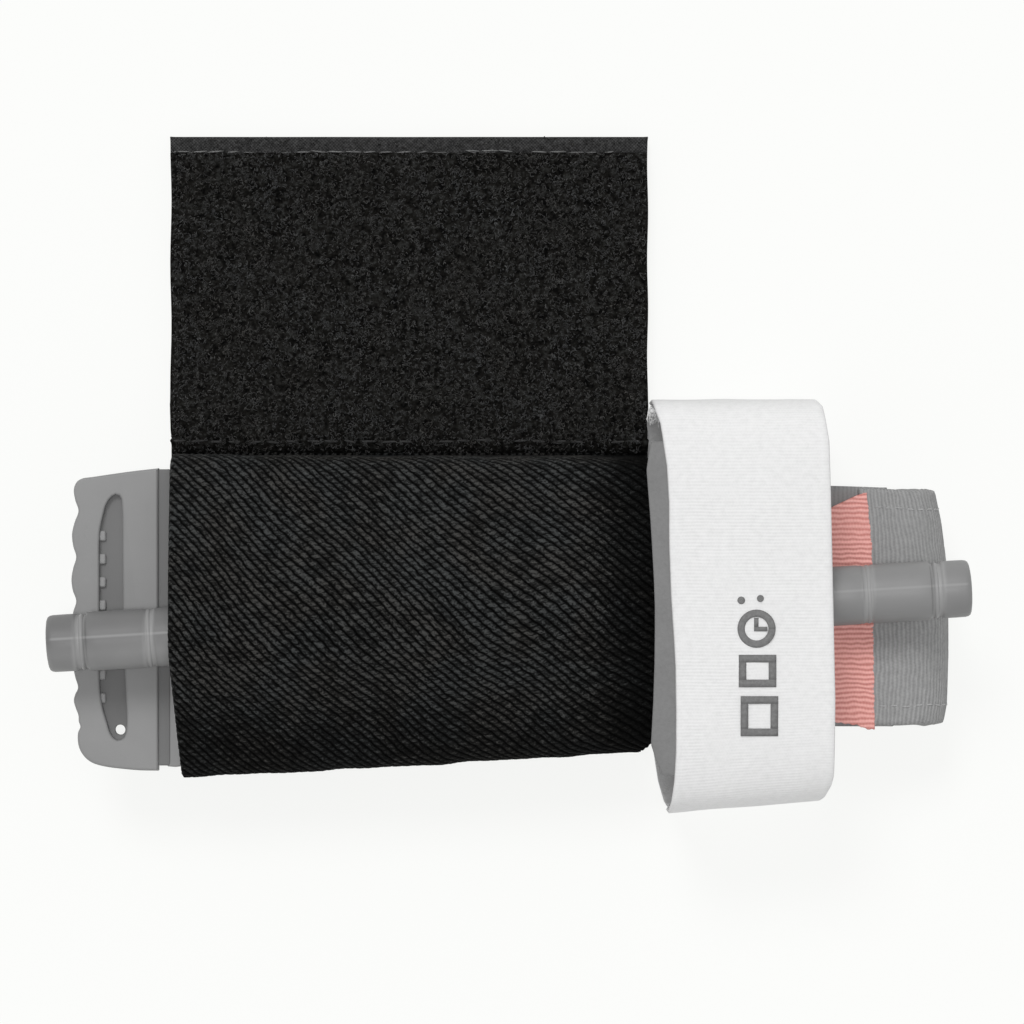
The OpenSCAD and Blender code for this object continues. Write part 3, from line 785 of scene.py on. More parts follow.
def sleeve_mesh():
    """The sleeve's closed tube, with the weave's own relief."""
    m, n = 290, 350
    grid = sleeve_grid(m, n)
    t = grid[..., 0] + 54
    loop = np.concatenate([grid, grid[:, :1]], axis=1)
    steps = np.linalg.norm(np.diff(loop, axis=1), axis=2)
    s = np.concatenate([np.zeros((m, 1)), np.cumsum(steps, axis=1)], axis=1)
    top = int(np.argmax(grid[m // 2, :, 2]))
    s = s - s[:, top : top + 1] + loop[:, top : top + 1, 1]
    tt = np.concatenate([t, t[:, :1]], axis=1)
    across = 0.72 * (s + 1.19 * tt - 0.00265 * tt**2) / CORD
    across = across + 0.35 * wave(tt, s, 3, 24) + 0.08 * wave(tt, s, 31, 2.6)
    along = (0.70 * tt + 0.0007 * tt**2 - 0.70 * s) / BEAD
    along = along + 0.3 * wave(tt, s, 4, 18) + 0.12 * wave(tt, s, 32, 2.2)
    f = 2 * (across % 1) - 1
    cord = np.floor(across)
    g = 2 * ((along + BEAD_SKEW * f + 0.382 * cord + 0.3 * np.sin(1.7 * cord)) % 1) - 1
    height = (1 - f * f) ** 0.8 * (0.9 + 0.1 * (1 - g * g))
    rise = 0.3 * (height[:, :n] - 0.5) * np.clip((grid[..., 2] - 8) / 6, 0, 1)
    soft = 0.22 * wave(t, grid[..., 1], 5, 30) + 0.12 * wave(t, grid[..., 1], 6, 11)
    soft = soft * np.clip((grid[..., 2] - 4) / 8, 0, 1)
    normal = normals_of(grid, True)
    outer = grid + normal * (rise + soft)[..., None]
    inner = grid + normal * (soft[..., None] - ELASTIC_T)
    uv = pairs(across, along)
    return shell("sleeve_elastic_fabric", outer, ELASTIC_T, uv, closed_v=True, inner=inner)


sleeve = keep(sleeve_mesh(), TWILL, "holder", "black_elastic", "sleeve_elastic")


# ---------------------------------------------------------------- holder: flap

FLAP_X, FLAP_WIDE = (-55.4, 22.7), 78
FLAP_LOW, FLAP_TOP = 27.5, 76.5
HINGE, EDGE_R = (27.35, 2.75), 2.72  # the turned edge's middle in y and z, and its radius
EDGE_END, PANEL_TOP = 26.5, 73.75  # the loop panel's y places
BACKING_TOP, PILE_RELIEF = 1.98, 0.42


def flap_edges(y):
    """Left and right x of the flap at y: straight sides, with the lower left corner rounded a little."""
    left = FLAP_X[0] + 0.45 * smooth01((28.6 - y) / 4) + 0.1 * np.sin(y * 0.31)
    right = FLAP_X[1] + 0.08 * np.sin(y * 0.4 + 1) - 0.1 * smooth01((28 - y) / 4)
    return left, right


def flap_grid(y, columns, inset=0.0):
    """Grids of x and y over the flap's width, with a row at each y."""
    left, right = flap_edges(y)
    x = between(left + inset, right - inset, np.linspace(0, 1, columns))
    return x, np.broadcast_to(y, x.shape)


def from_border(y, y0, y1):
    """How far each point of a flap grid is from the nearest side of a panel between y0 and y1."""
    u = np.linspace(0, 1, len(y))[:, None]
    return np.minimum(np.minimum(u, 1 - u) * FLAP_WIDE, np.minimum(y - y0, y1 - y))


def flat_panel(name, y1, low, high, step, relief, inset=0.0):
    """A flat piece of cloth over the flap's width, up to y1 and between two heights."""
    rows, columns = int((y1 - FLAP_LOW) / step) + 1, int(FLAP_WIDE / step) + 1
    x, y = flap_grid(np.linspace(FLAP_LOW, y1, rows), columns, inset)
    pinch = 0.35 * (high - low) * (1 - smooth01(from_border(y, FLAP_LOW, y1) / 0.5))
    z = high + relief * wave(x, y, 11, 16) - pinch
    return shell(name, grid_of(x, y, z), high - low - pinch, pairs(x, y), rim=0.22)


hook = keep(flat_panel("flap_hook_tape", 75.3, 0.0, 1.32, 0.9, 0.0, inset=0.25),
            HOOKS, "flap", "black_hook", "flap_hook_panel")
backing = keep(flat_panel("flap_backing_tape", FLAP_TOP, 1.42, BACKING_TOP, 0.7, 0.05),
               BACKING, "flap", "black_backing", "flap_backing")


def panel_height(y):
    """Top of the loop panel at y: flat, then up over the seam's layers."""
    edge = np.sqrt(np.maximum(EDGE_R**2 - (HINGE[0] - np.minimum(y, HINGE[0])) ** 2, 0.01)) - EDGE_R
    return 3.9 + 1.5 * smooth01((35.4 - y) / 2.8) + edge


def clumps(x, y):
    """The pile's uneven surface, 0 to about 1."""
    return 0.5 + 0.22 * wave(x, y, 21, 2.6) + 0.24 * wave(x, y, 22, 1.3) + 0.14 * wave(x, y, 23, 7)


def loop_panel():
    """The loop panel's ground: an uneven pile with rounded sides, up over the seam's layers."""
    x, y = flap_grid(np.linspace(EDGE_END, PANEL_TOP, 116), 200, 0.15)
    full = smooth01(from_border(y, EDGE_END - 0.4, PANEL_TOP) / 1.1)
    z = panel_height(y) - 0.55 * (1 - full) + full * (PILE_RELIEF * clumps(x, y) - 0.3)
    floor = np.where(y > 32.9, 2.02, 2.02 + 1.6 * smooth01((33.4 - y) / 0.5))
    inner = grid_of(x, y, np.minimum(floor, z - 0.35))
    return shell("flap_loop_pile", grid_of(x, y, z), 1.2, pairs(x, y), rim=0.12, inner=inner)


pile = keep(loop_panel(), PILE, "flap", "black_loop", "flap_loop_panel")


def loop_fibres(name, count, length, height, radius):
    """Small curved fibres standing on the pile, thinner over the strip above it."""
    x = RNG.uniform(FLAP_X[0] + 0.45, FLAP_X[1] - 0.45, 2 * count)
    y = RNG.uniform(EDGE_END - 1.75, PANEL_TOP + 2.5, 2 * count)
    chance = 0.12 + 1.1 * np.clip(clumps(x, y), 0, 1)
    chance = chance * np.where(y < EDGE_END + 0.2, 0.9, np.where(y > PANEL_TOP, 0.4, 1))
    picked = np.flatnonzero(RNG.uniform(0, 1, 2 * count) < chance)[:count]
    x, y, count = x[picked, None], y[picked, None], len(picked)
    turn = RNG.uniform(0, math.tau, count)[:, None]
    reach = RNG.uniform(*length, count)[:, None]
    rise = RNG.uniform(*height, count)[:, None]
    bend = RNG.normal(0, 0.24, count)[:, None]
    base = panel_height(y) + np.where(y < EDGE_END + 0.3, 0.13, PILE_RELIEF * clumps(x, y) - 0.34)
    base = np.where(y > PANEL_TOP, BACKING_TOP, base)
    t = np.linspace(0, 1, 5)
    bow = bend * np.sin(np.pi * t)
    px = x + np.cos(turn) * reach * (t - 0.5) - np.sin(turn) * bow
    py = y + np.sin(turn) * reach * (t - 0.5) + np.cos(turn) * bow
    pz = base + rise * np.sin(np.pi * (0.05 + 0.9 * t)) - 0.04
    return tubes(name, grid_of(px, py, pz), radius, sides=3, taper=0.5)


keep(loop_fibres("flap_loop_fibres", 15500, (0.25, 0.65), (0.06, 0.34), 0.1),
     PILE_FIBRE, "flap", "black_loop")


def flap_edge():
    """The turned lower edge: a tape round it from the loop panel, open where the seam goes in."""
    cy, cz = HINGE
    over = [[EDGE_END + 0.5, 4.95], [EDGE_END + 0.1, 5.3]]
    top = np.concatenate([over, arc(cy, cz, EDGE_R, 109, 167, 14)])
    low = np.concatenate([arc(cy, cz, EDGE_R, 193, 270, 14), [[27.9, 0.03], [28.4, 0.03]]])
    parts = []
    for line in (top, low):
        p = resample(line, np.linspace(0, arc_length(line)[-1], 26))[::-1]
        s = arc_length(p)
        x, y = flap_grid(p[:, 0], 160)
        sag = 0.1 * wave(x, 0 * x + s, 31, 7) * smooth01(np.minimum(s, s[-1] - s) / 0.8)
        outer = grid_of(x, y, p[:, 1])
        outer = outer + normals_of(outer) * sag[..., None]
        parts.append(shell("edge", outer, 0.7, pairs(x, s), rim=0.3))
    return merge("flap_turned_edge", parts)


turned = keep(flap_edge(), PILE, "flap", "black_loop")


def seam_gusset():
    """The sleeve's tails, from its wall into the flap's seam."""
    y = np.linspace(23.3, 32.6, 40)[None]
    x = np.linspace(FLAP_X[0] + 0.4, FLAP_X[1] - 0.25, 120)[:, None]
    z = 3.15 + 0.05 * wave(x, y, 41, 9)
    return shell("seam_gusset", grid_of(x, y, z), 0.9, pairs(x / CORD, y / BEAD), rim=0.3)


gusset = put(seam_gusset(), TWILL)
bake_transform(gusset)
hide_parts("sleeve_seam_tails")


def flap_stitches(name, y, z, paint, slot, node, length, pitch, radius, stray):
    """A row of uneven stitches over the flap's width at y and z, with some stray loose ends."""
    x0 = np.arange(FLAP_X[0] + 0.5, FLAP_X[1] - length - 0.2, pitch)
    x0 = x0 + RNG.normal(0, 0.12, len(x0))
    x0 = x0[RNG.uniform(0, 1, len(x0)) > MISSED]
    size = length * RNG.uniform(0.72, 1.06, len(x0))
    y0 = y + 0.14 * wave(x0, 0 * x0, 51, 22) + RNG.normal(0, 0.03, len(x0))
    tilt = RNG.normal(0.0, 0.09, len(x0))
    a, b = grid_of(x0, y0 - tilt, z), grid_of(x0 + size, y0 + tilt, z)
    threads = thread_rows(name, a, b, 0.1, radius, sag=0.1)
    start = a[RNG.choice(len(x0), stray, replace=False)]
    way = RNG.normal(0, 1, (stray, 3)) * (1.3, 0.3, 0.0) + (0.4, -0.15, 0.0)
    lines = strands(start + (0, 0, 0.08), way, (0.1, -0.25, 0.2), 7)
    threads = merge(name, [threads, tubes("stray", lines, radius * 0.5, sides=5, uv_scale=6)])
    keep(threads, paint, "flap", slot, node)


MISSED = 0.03  # the share of the flap's stitches that are missing
flap_stitches("flap_top_threads", 74.0, 2.35, PALE_THREAD, "pale_thread", "flap_top_stitching",
              length=2.65, pitch=2.8, radius=0.12, stray=20)
flap_stitches("flap_seam_threads", 26.55, 5.28, DARK_THREAD, "dark_thread", "flap_seam_stitching",
              length=2.4, pitch=3.1, radius=0.17, stray=4)


# ---------------------------------------------------------------- folded band

STACK_Z, PITCH, BAND_T = 1.8, 2.25, 2.0  # the lowest layer's underside, the layers' pitch, the thickness
FOLD_LEFT, FOLD_RIGHT, WRAP_RIGHT = 65.0, 61.0, 62.4  # where the folds and the outer wrap turn round
TIP_Z = STACK_Z + 7 * PITCH
TIP_TOP = TIP_Z + BAND_T
LAYER_TOP = STACK_Z + 6 * PITCH + BAND_T
WRAP_Z, WRAP_R = (STACK_Z + TIP_TOP) / 2, (TIP_TOP - STACK_Z) / 2
BAND_HALF, SEAM_Y = 19.05, 16.0  # half of the width, and where its stitch rows run


def layer_mid(k):
    """Height of the middle of the band's layer k."""
    return STACK_Z + PITCH * k + BAND_T / 2


def band_path():
    """The band's middle line (x, z): from under the red tip, round the outer fold and the zigzag."""
    fold, fine, coarse = PITCH / 2, 0.135, 1.6
    r = WRAP_R - BAND_T / 2
    a = np.linspace(0, np.pi, int(np.pi * r / fine))
    x = np.concatenate([np.arange(WRAP_RIGHT - fine, 30, -fine), np.arange(30, -FOLD_LEFT, -0.27)])
    pieces = [
        pairs(np.arange(57.0, WRAP_RIGHT, fine), TIP_Z + BAND_T / 2),
        pairs(WRAP_RIGHT + r * np.sin(a), WRAP_Z + r * np.cos(a)),
        pairs(x, layer_mid(0)),
    ]
    a = np.linspace(0, np.pi, 16)[1:-1]
    for k in range(6):
        side, end, stop = (1, FOLD_RIGHT, -FOLD_LEFT) if k % 2 else (-1, -FOLD_LEFT, FOLD_RIGHT)
        stop = -44.0 if k == 5 else stop
        pieces.append(pairs(end + side * fold * np.sin(a), layer_mid(k) + fold - fold * np.cos(a)))
        pieces.append(pairs(np.linspace(end, stop, int(abs(stop - end) / coarse)), layer_mid(k + 1)))
    return np.concatenate(pieces)


def band_shift(g):
    """Bows the outer fold as the photo shows, and lets the layers' edges wander a little."""
    x, y, z = g[..., 0], g[..., 1], g[..., 2]
    bow = np.interp(y, [-19.05, -16, -8, 2, 8, 14, 19.05], [-0.95, -0.35, -0.1, -0.15, -0.55, -1.3, -2.35])
    edge = y / BAND_HALF
    out = g.copy()
    out[..., 0] += bow * smooth01((x - 53) / 14)
    out[..., 1] *= 1 - 0.022 * smooth01((-57 - x) / 3)
    out[..., 1] -= np.clip(edge, 0, 1) * np.interp(x, [44, 50, 68], [0, 0.12, 0.62])
    out[..., 1] += 0.1 * np.sin(x * 0.09 + z * 1.7) * edge + 0.03 * np.sin(z * 2.3) * smooth01((z - 1) / 3)
    return out


def band_relief(s, y):
    """Weft ribs across the band, closer where it wraps round the end."""
    ribs = np.cos(math.tau * (s / BAND_RIB + 0.35 * wave(s, y, 61, 9) + 0.16 * wave(s, y, 62, 2.5)))
    cut = np.clip((70 - s) / 6, 0, 1) + 0.5 * np.clip((s - 70) / 6, 0, 1) * np.clip((165 - s) / 6, 0, 1)
    seam = 0.05 * np.exp(-(((np.abs(y) - SEAM_Y) / 0.35) ** 2))
    return 0.035 * ribs * cut - seam


def rows_across(half, end, inner, count):
    """The y places of a strip's rows, closer by its edges."""
    return np.concatenate([[-half, -end], np.linspace(-inner, inner, count), [end, half]])


band = keep(ribbon("outer_band_webbing", band_path(), rows_across(BAND_HALF, 18.9, 18.4, 38), BAND_T / 2,
                   band_relief, band_shift), BAND, "tourniquet", "grey_band", "outer_band")

BAR_X, BAR_Z, BAR_R = -49.0, 17.55, 1.3


def bar_loop():
    """The band's end: under the buckle's bar, round it and back on to the top layer."""
    turn = arc(BAR_X, BAR_Z, BAR_R + 0.58, 270, 80, 26)
    under = [[-43.2, LAYER_TOP - 1.0], [-45.6, LAYER_TOP - 1.4]]
    over = [[-44.6, 18.75], [-41.2, 17.95], [-38, 17.84], [-35.2, 17.84]]
    line = spline(np.concatenate([under, turn, over]), 90)[::-1]
    return ribbon("band_bar_loop", line, rows_across(17, 16.85, 16.4, 34), 0.47,
                  lambda s, y: 0.03 * np.cos(math.tau * s / BAND_RIB))


loop_end = keep(bar_loop(), BAND, "tourniquet", "grey_band")


def red_cover():
    """The red cover on the free end: both corners cut back, cross ribs standing up."""
    uu, vv = np.meshgrid(np.linspace(0, 1, 44), np.linspace(0, 1, 330), indexing="ij")
    y = 37 * vv - 19
    right = np.interp(y, [-19.6, -19, 0, 10, 18], [58.75, 58.55, 58.3, 58.1, 57.3]) + 0.06 * np.sin(y * 2.1)
    x = 43.6 + (right - 43.6) * uu
    top = np.interp(x, [43.6, 51.8, 56.7, 57.3], [12.3, 15.7, 18.0, 18.05])
    low = np.interp(x, [43.6, 51.5, 52.4, 56.0, 57.0, 58.7], [-15.4, -18.3, -18.55, -19.05, -19.55, -19.75])
    low = low + 0.12 * np.sin(x * 5.1)
    y = low + (top - low) * vv
    phase = y / RED_RIB + 0.16 * wave(x, y, 71, 9) + 0.1 * wave(x, y, 72, 3)
    rib = np.abs(np.cos(np.pi * phase)) ** 0.7
    z = TIP_TOP + 0.08 + 0.11 * rib - 0.1 * smooth01((uu - 0.93) / 0.07)
    lip = smooth01((x - 56.6) / 0.5)
    inner = (TIP_Z + 0.02) * (1 - lip) + (TIP_TOP - 0.35) * lip
    return shell("red_tip_cover", grid_of(x, y, z), 1.6, pairs(x, phase * RED_RIB), rim=0.1,
                 inner=grid_of(x, y, inner))


red = keep(red_cover(), RED, "tourniquet", "red_cover", "red_tip")


def band_threads():
    """Two rows of stitches along the band, over the outer fold."""
    path = band_path()
    path = path[arc_length(path) < 30]
    lift = 0.98 + 0.05 * np.sin(np.pi * np.linspace(0, 1, 6))
    lines = []
    for side in (-1, 1):
        for start in np.arange(2.4, 26, 1.9):
            p = resample(path, np.linspace(start, start + 1.35, 6))
            p = p + normals_along(p) * lift[:, None]
            lines.append(grid_of(p[:, 0], side * SEAM_Y + RNG.normal(0, 0.05), p[:, 1]))
    return tubes("band_edge_threads", band_shift(np.array(lines)), 0.13, sides=6, uv_scale=5)


keep(band_threads(), GREY_THREAD, "tourniquet", "grey_thread", "band_edge_stitching")

tack = [(x, y, 18.3) for y in (-14, -9.5, -5, 0, 5, 9.5, 14) for x in np.arange(-40.8, -36.5, 2.0)]
keep(thread_rows("bar_loop_threads", tack, np.array(tack) + (1.5, 0, 0), 0.05, 0.14, sag=0.05),
     GREY_THREAD, "tourniquet", "grey_thread", "buckle_loop_stitching")


# ---------------------------------------------------------------- windlass station

PLATE_Z, PLATE_T = 17.55, 2.2
RIVET_Y, RIVET_R = 4.6, 1.45
PLATE_TOP = PLATE_Z + PLATE_T
RISER_Y = 10.6
CLIP_X = 35.0


def rounded(x0, y0, x1, y1, r, count=9):
    """A rectangle with rounded corners, as one loop of points."""
    corners = ((x1, y1, -1, -1), (x0, y1, 1, -1), (x0, y0, 1, 1), (x1, y0, -1, 1))
    return np.concatenate([
        arc(x + side_x * r, y + side_y * r, r, 90 * k, 90 * k + 90, count)
        for k, (x, y, side_x, side_y) in enumerate(corners)
    ])


def circle(x, y, r, count=40):
    """A full circle as a loop of points."""
    return arc(x, y, r, 0, 360, count + 1)[:-1]


plate_loops = [rounded(-33, -20, 43, 20, 4)]
plate_loops += [rounded(-13.5, s * RISER_Y - 0.72, 13.5, s * RISER_Y + 0.72, 0.7, 5) for s in (-1, 1)]
plate_loops += [circle(CLIP_X, s * RIVET_Y, RIVET_R) for s in (-1, 1)]
keep(slab("base_plate_moulding", plate_loops, PLATE_Z, PLATE_TOP, 0.45), PLASTIC,
     "tourniquet", "grey_plastic", "base_plate")


def clip_outline():
    """The clip seen along the rod: a foot with two prongs whose ends curl in."""
    wall = 29.0  # where the prongs start to curl
    half = np.concatenate([
        [[9.6, PLATE_TOP], [9.6, PLATE_TOP + 3], [9.6, wall]],
        arc(5.2, wall, 4.4, 0, 90, 12)[1:],
        arc(5.2, 32.2, 1.2, 90, 270, 12)[1:],
        arc(5.2, wall, 2.0, 90, 0, 8)[1:],
        [[7.2, PLATE_TOP + 3]],
        arc(6.2, PLATE_TOP + 2.25, 1.0, 0, -90, 6),
    ])
    return np.concatenate([half, half[::-1] * (-1, 1)])


keep(slab("windlass_clip_moulding", [clip_outline()], CLIP_X - 7, CLIP_X + 7, 0.4, plane="yz"), PLASTIC,
     "tourniquet", "grey_plastic", "windlass_clip")


# A groove with its two rings: (distance from the groove, radius), from the rod's middle outwards
GROOVE = [
    (-1.55, 4.66), (-1.42, 4.58), (-1.25, 4.53), (-0.9, 4.52), (-0.8, 4.6), (-0.65, 4.65), (-0.5, 4.65),
    (-0.38, 4.6), (-0.28, 4.52), (-0.12, 4.54), (0.02, 4.64), (0.3, 4.69), (2, ROD_R), (7.4, ROD_R),
    (8.9, 4.69), (9.2, 4.6),
]
# The collar and the domed cap: (distance from the rod's middle, radius)
ROD_CAP = [
    (67.0, 4.42), (67.15, 4.3), (67.4, 4.27), (67.52, 4.4), (67.7, 4.47), (67.9, 4.47), (68.05, 4.38),
    (68.15, 4.26), (68.6, 4.25), (68.75, 4.35), (68.9, 4.5), (69.15, 4.54), (69.4, 4.55), (71, 4.55),
    (72.4, 4.53), (72.85, 4.44), (73.15, 4.25), (73.32, 3.9), (73.44, 3.2), (73.5, 2.0), (73.52, 0.6),
    (73.52, 0.05),
]


def windlass_rod():
    """The turned rod, with its slot cut through from above."""
    half = [(0.0, ROD_R), (20.0, ROD_R), (34.0, ROD_R)]
    for at in RING_AT[:3]:
        half += [(at + d, r) for d, r in GROOVE]
    half += ROD_CAP
    profile = [(-d, r) for d, r in half[::-1]] + half[1:]
    rod = lathe("windlass_rod_moulding", profile, ROD_CENTRE, ROD_TILT)
    cutter = slab("rod_slot_cutter", [rounded(-13.5, -1.2, 13.5, 1.2, 1.15, 7)], -8, 8, 0.01)
    turn = Matrix.Translation(Vector(row(*ROD_CENTRE))) @ Matrix.Rotation(ROD_TILT, 4, "Z")
    turn = turn @ Matrix.Rotation(math.pi / 2, 4, "X")
    cutter.data.transform(turn @ Matrix.Translation(Vector((0, MID_Y * MM, 0))))
    cut = rod.modifiers.new("slot", "BOOLEAN")
    cut.operation, cut.solver, cut.object = "DIFFERENCE", "EXACT", cutter
    mesh = bpy.data.meshes.new_from_object(rod.evaluated_get(bpy.context.evaluated_depsgraph_get()))
    rod.modifiers.clear()
    rod.data = mesh
    bpy.data.objects.remove(cutter)
    mesh.set_sharp_from_angle(angle=math.radians(38))
    return rod


keep(windlass_rod(), ROD_PLASTIC, "rod", "grey_rod_plastic", "windlass_rod")


def cross_strip(name, line, half_t, centre=(0, 0), tilt=0.0):
    """A strip of inner band along a (y, z) line, turned by tilt about Z through centre."""
    line = spline(line, 80)
    normal = normals_along(line)
    x = rows_across(12.5, 12.35, 11.9, 24)
    edge = thinned(len(x), 0.6)
    xx, ss = np.meshgrid(x, arc_length(line), indexing="ij")
    c, q = math.cos(tilt), math.sin(tilt)
    sides = []
    for h in (half_t, -half_t):
        h = h * edge[:, None]
        y, z = line[None, :, 0] + normal[None, :, 0] * h, line[None, :, 1] + normal[None, :, 1] * h
        sides.append(grid_of(centre[0] + xx * c - y * q, centre[1] + xx * q + y * c, z))
    return shell(name, sides[0], 2 * half_t, pairs(xx, ss), inner=sides[1])


INNER_HALF_T = 0.42
arch = [(RISER_Y, PLATE_TOP + 0.3), (9.4, 22.3), (7.6, 24.7), (5.6, 25.8), (3, 26.0)]
bight_line = [(-y, z) for y, z in arch] + arch[::-1]
bight = keep(cross_strip("inner_band_bight_ply", bight_line, INNER_HALF_T, ROD_CENTRE[:2], ROD_TILT),
             BAND_INSIDE, "rod", "grey_inner_band", "inner_band_bight")

up, down = (16.4, 18.2, PLATE_TOP), (PLATE_TOP, 18.2, 16.4)
risers = [cross_strip("riser", [(y, z) for z in heights], INNER_HALF_T)
          for y, heights in ((-RISER_Y, up), (RISER_Y, down))]
risers = keep(merge("inner_band_risers", risers), BAND_INSIDE, "tourniquet", "grey_inner_band", "inner_band")


# ---------------------------------------------------------------- buckle

BUCKLE_LOW, BUCKLE_T = 15.35, 3.2  # the grip's underside and thickness
STEP_X = -56.3
SLOT_HOLE = (-62.5, -19.97, 0.82)  # the small hole at the slot's lower end: x, y and radius
TOOTH_PITCH, TOP_TOOTH_Y = 3.72, 11.2
GRIP = [
    (STEP_X, 22.05), (-60.82, 21.53), (-66.92, 20.65), (-68.52, 20.41), (-69.41, 19.84), (-69.87, 18.66),
    (-69.65, 16.96), (-69.13, 15.19), (-69.73, 13.43), (-70.16, 11.5), (-69.97, 9.57), (-69.49, 7.81),
    (-69.97, 6.04), (-70.25, 4.28), (-70.05, 2.51), (-69.49, 0.75), (-69.97, -1.02), (-70.22, -2.78),
    (-69.97, -4.71), (-69.41, -6.47), (-69.89, -8.08), (-70.05, -9.36), (-69.65, -11.45), (-69.2, -13.21),
    (-69.65, -14.26), (-69.87, -15.24), (-69.57, -16.42), (-69.13, -17.63), (-69.08, -18.6), (-68.81, -19.47),
    (-69.16, -20.27), (-69.25, -21.32), (-69.05, -22.68), (-68.57, -23.71), (-67.72, -24.69),
    (-66.55, -25.38), (-64.51, -25.9), (-62.14, -26.2), (-59.22, -26.45), (STEP_X, -26.5),
]
SLOT = [
    (-63.16, 17.81), (-63.9, 17.37), (-64.71, 16.08), (-65.15, 14.42), (-65.6, 12.4), (-65.75, 10.37),
    (-65.75, 5), (-65.75, -5), (-65.75, -10.26), (-65.6, -13.95), (-65.2, -16.53), (-64.55, -18.74),
    (-63.9, -20.7), (-62.87, -21.6), (-61.85, -21.2), (-61.4, -19.84), (-61.7, -10.26), (-61.95, 0),
    (-62.05, 14.42), (-62.13, 15.9), (-62.31, 17.37), (-62.68, 17.75),
]
TAIL = [
    (-54.85, -25.85), (-53.6, -25.95), (-46.7, -25.2), (-46.7, -18.3), (-52.5, -18.3), (-52.5, 18.3),
    (-46.7, 18.3), (-46.7, 21.2), (-53.9, 21.8), (-54.85, 21.95),
]


def buckle_plate(name, loops, low, high, bevel, steps=3, paint=None):
    """One moulded plate of the buckle, from low to high above the grip's underside."""
    obj = slab(name, loops, BUCKLE_LOW + low, BUCKLE_LOW + high, bevel, steps=steps)
    box_uv(obj)
    return put(obj, paint or PLASTIC)


def buckle():
    """Grip panel with its slot, the recess behind it, the tail plate, the side arms and the bar."""
    arm_top = BAR_Z + BAR_R - BUCKLE_LOW
    ledge = [rounded(-68.0, -24.0, -54.4, 19.8, 0.4, 4), circle(*SLOT_HOLE, 32)]
    step = [rounded(STEP_X - 1.2, -25.7, -54.4, 21.9, 0.4, 4)]
    parts = [
        buckle_plate("grip", [spline(GRIP, 260), spline(SLOT, 130, closed=True)], 0, BUCKLE_T, 0.4, steps=5),
        # The recess and the step take the darker copy of the plastic: painted shade.
        buckle_plate("recess", ledge, 0.6, 1.9, 0.1, steps=2, paint=PLASTIC_SHADED),
        buckle_plate("step", step, 0.55, 2.5, 0.2, steps=2, paint=PLASTIC_SHADED),
        buckle_plate("tail", [np.array(TAIL)], 0.5, 2.4, 0.35),
    ]
    for y in (-19.6, 19.6):
        arm = rounded(-51.0, y - 1.5, -46.75, y + 1.5, 0.8, 5)
        parts.append(buckle_plate("arm", [arm], 0.6, arm_top, 0.4))
    bar_line = [(-18.4, 1.15), (-18.2, BAR_R), (18.2, BAR_R), (18.4, 1.15)]
    parts.append(put(lathe("bar", bar_line, (BAR_X, 0.0, BAR_Z), math.pi / 2, sides=40), PLASTIC))
    for y in TOP_TOOTH_Y - TOOTH_PITCH * np.arange(8):
        tooth = rounded(-65.95, y - 0.85, -64.75, y + 0.85, 0.3, 4)
        parts.append(buckle_plate("tooth", [tooth], 1.6, 2.5, 0.3))
    return merge("routing_buckle_moulding", parts)


keep(buckle(), None, "buckle", "grey_plastic", "routing_buckle")


# ---------------------------------------------------------------- time strap

STRAP_HY, STRAP_HZ = 33.0, 17.45  # half of the ring's size in y and z
STRAP_FACE, STRAP_T = 0.7, 1.2
RING_POWER = 5  # how square the ring is
LAP = 1.5  # how far the back half's end lies inside the front half's


def ring_line(a0, a1, inset, lap=0.0):
    """Points (y, z) of the strap's ring from angle a0 down to a1, inset from its outside."""
    a = np.linspace(a0, a1, 1600)
    inset = inset + lap * smooth01((a - 325) / 22)
    c, s = np.cos(np.radians(a)), np.sin(np.radians(a))
    r = (np.abs(c) / (STRAP_HY - inset)) ** RING_POWER + (np.abs(s) / (STRAP_HZ - inset)) ** RING_POWER
    r = r ** (-1 / RING_POWER)
    return np.stack([r * c, STRAP_HZ + r * s], axis=1)


# The strap's edges in the photo: y places, and x at each
FRONT_LEFT = (
    [-33, -31, -27.4, -22.9, -16.1, -9.3, -4.8, 2, 10.6, 16.4, 22.3, 29.1, 31.5, 33],
    [25.5, 25.9, 26.3, 26.5, 26.5, 26.4, 26.15, 25.7, 25.4, 25.4, 25.07, 24.1, 23.3, 22.9],
)
FRONT_RIGHT = (
    [-33, -32.2, -30.5, -28.7, -14.5, 1.2, 26.35, 32, 33],
    [49.2, 50.0, 50.7, 51.0, 51.07, 50.75, 50.2, 49.4, 48.6],
)
BACK_LEFT = (
    [-33.3, -32.5, -29, -21.5, -20, 20, 20.7, 25, 31, 33],
    [26.1, 25.5, 24.6, 23.5, 23.75, 23.75, 22.75, 22.6, 22.7, 22.8],
)
BACK_RIGHT = ([-33, 33], [50.2, 49.4])
LIP_LEFT = (
    [-33, -30, -27, -24, -21.6, -15, -8.5, -4, 0.2, 4.5, 9, 14, 21.7, 25, 29, 33],
    [25.6, 25.9, 24.6, 23.3, 22.5, 22.85, 23.05, 23.1, 23.1, 22.95, 22.7, 22.4, 21.8, 22.3, 23.2, 22.9],
)
LIP_RIGHT = (FRONT_LEFT[0], [x + 0.5 for x in FRONT_LEFT[1]])


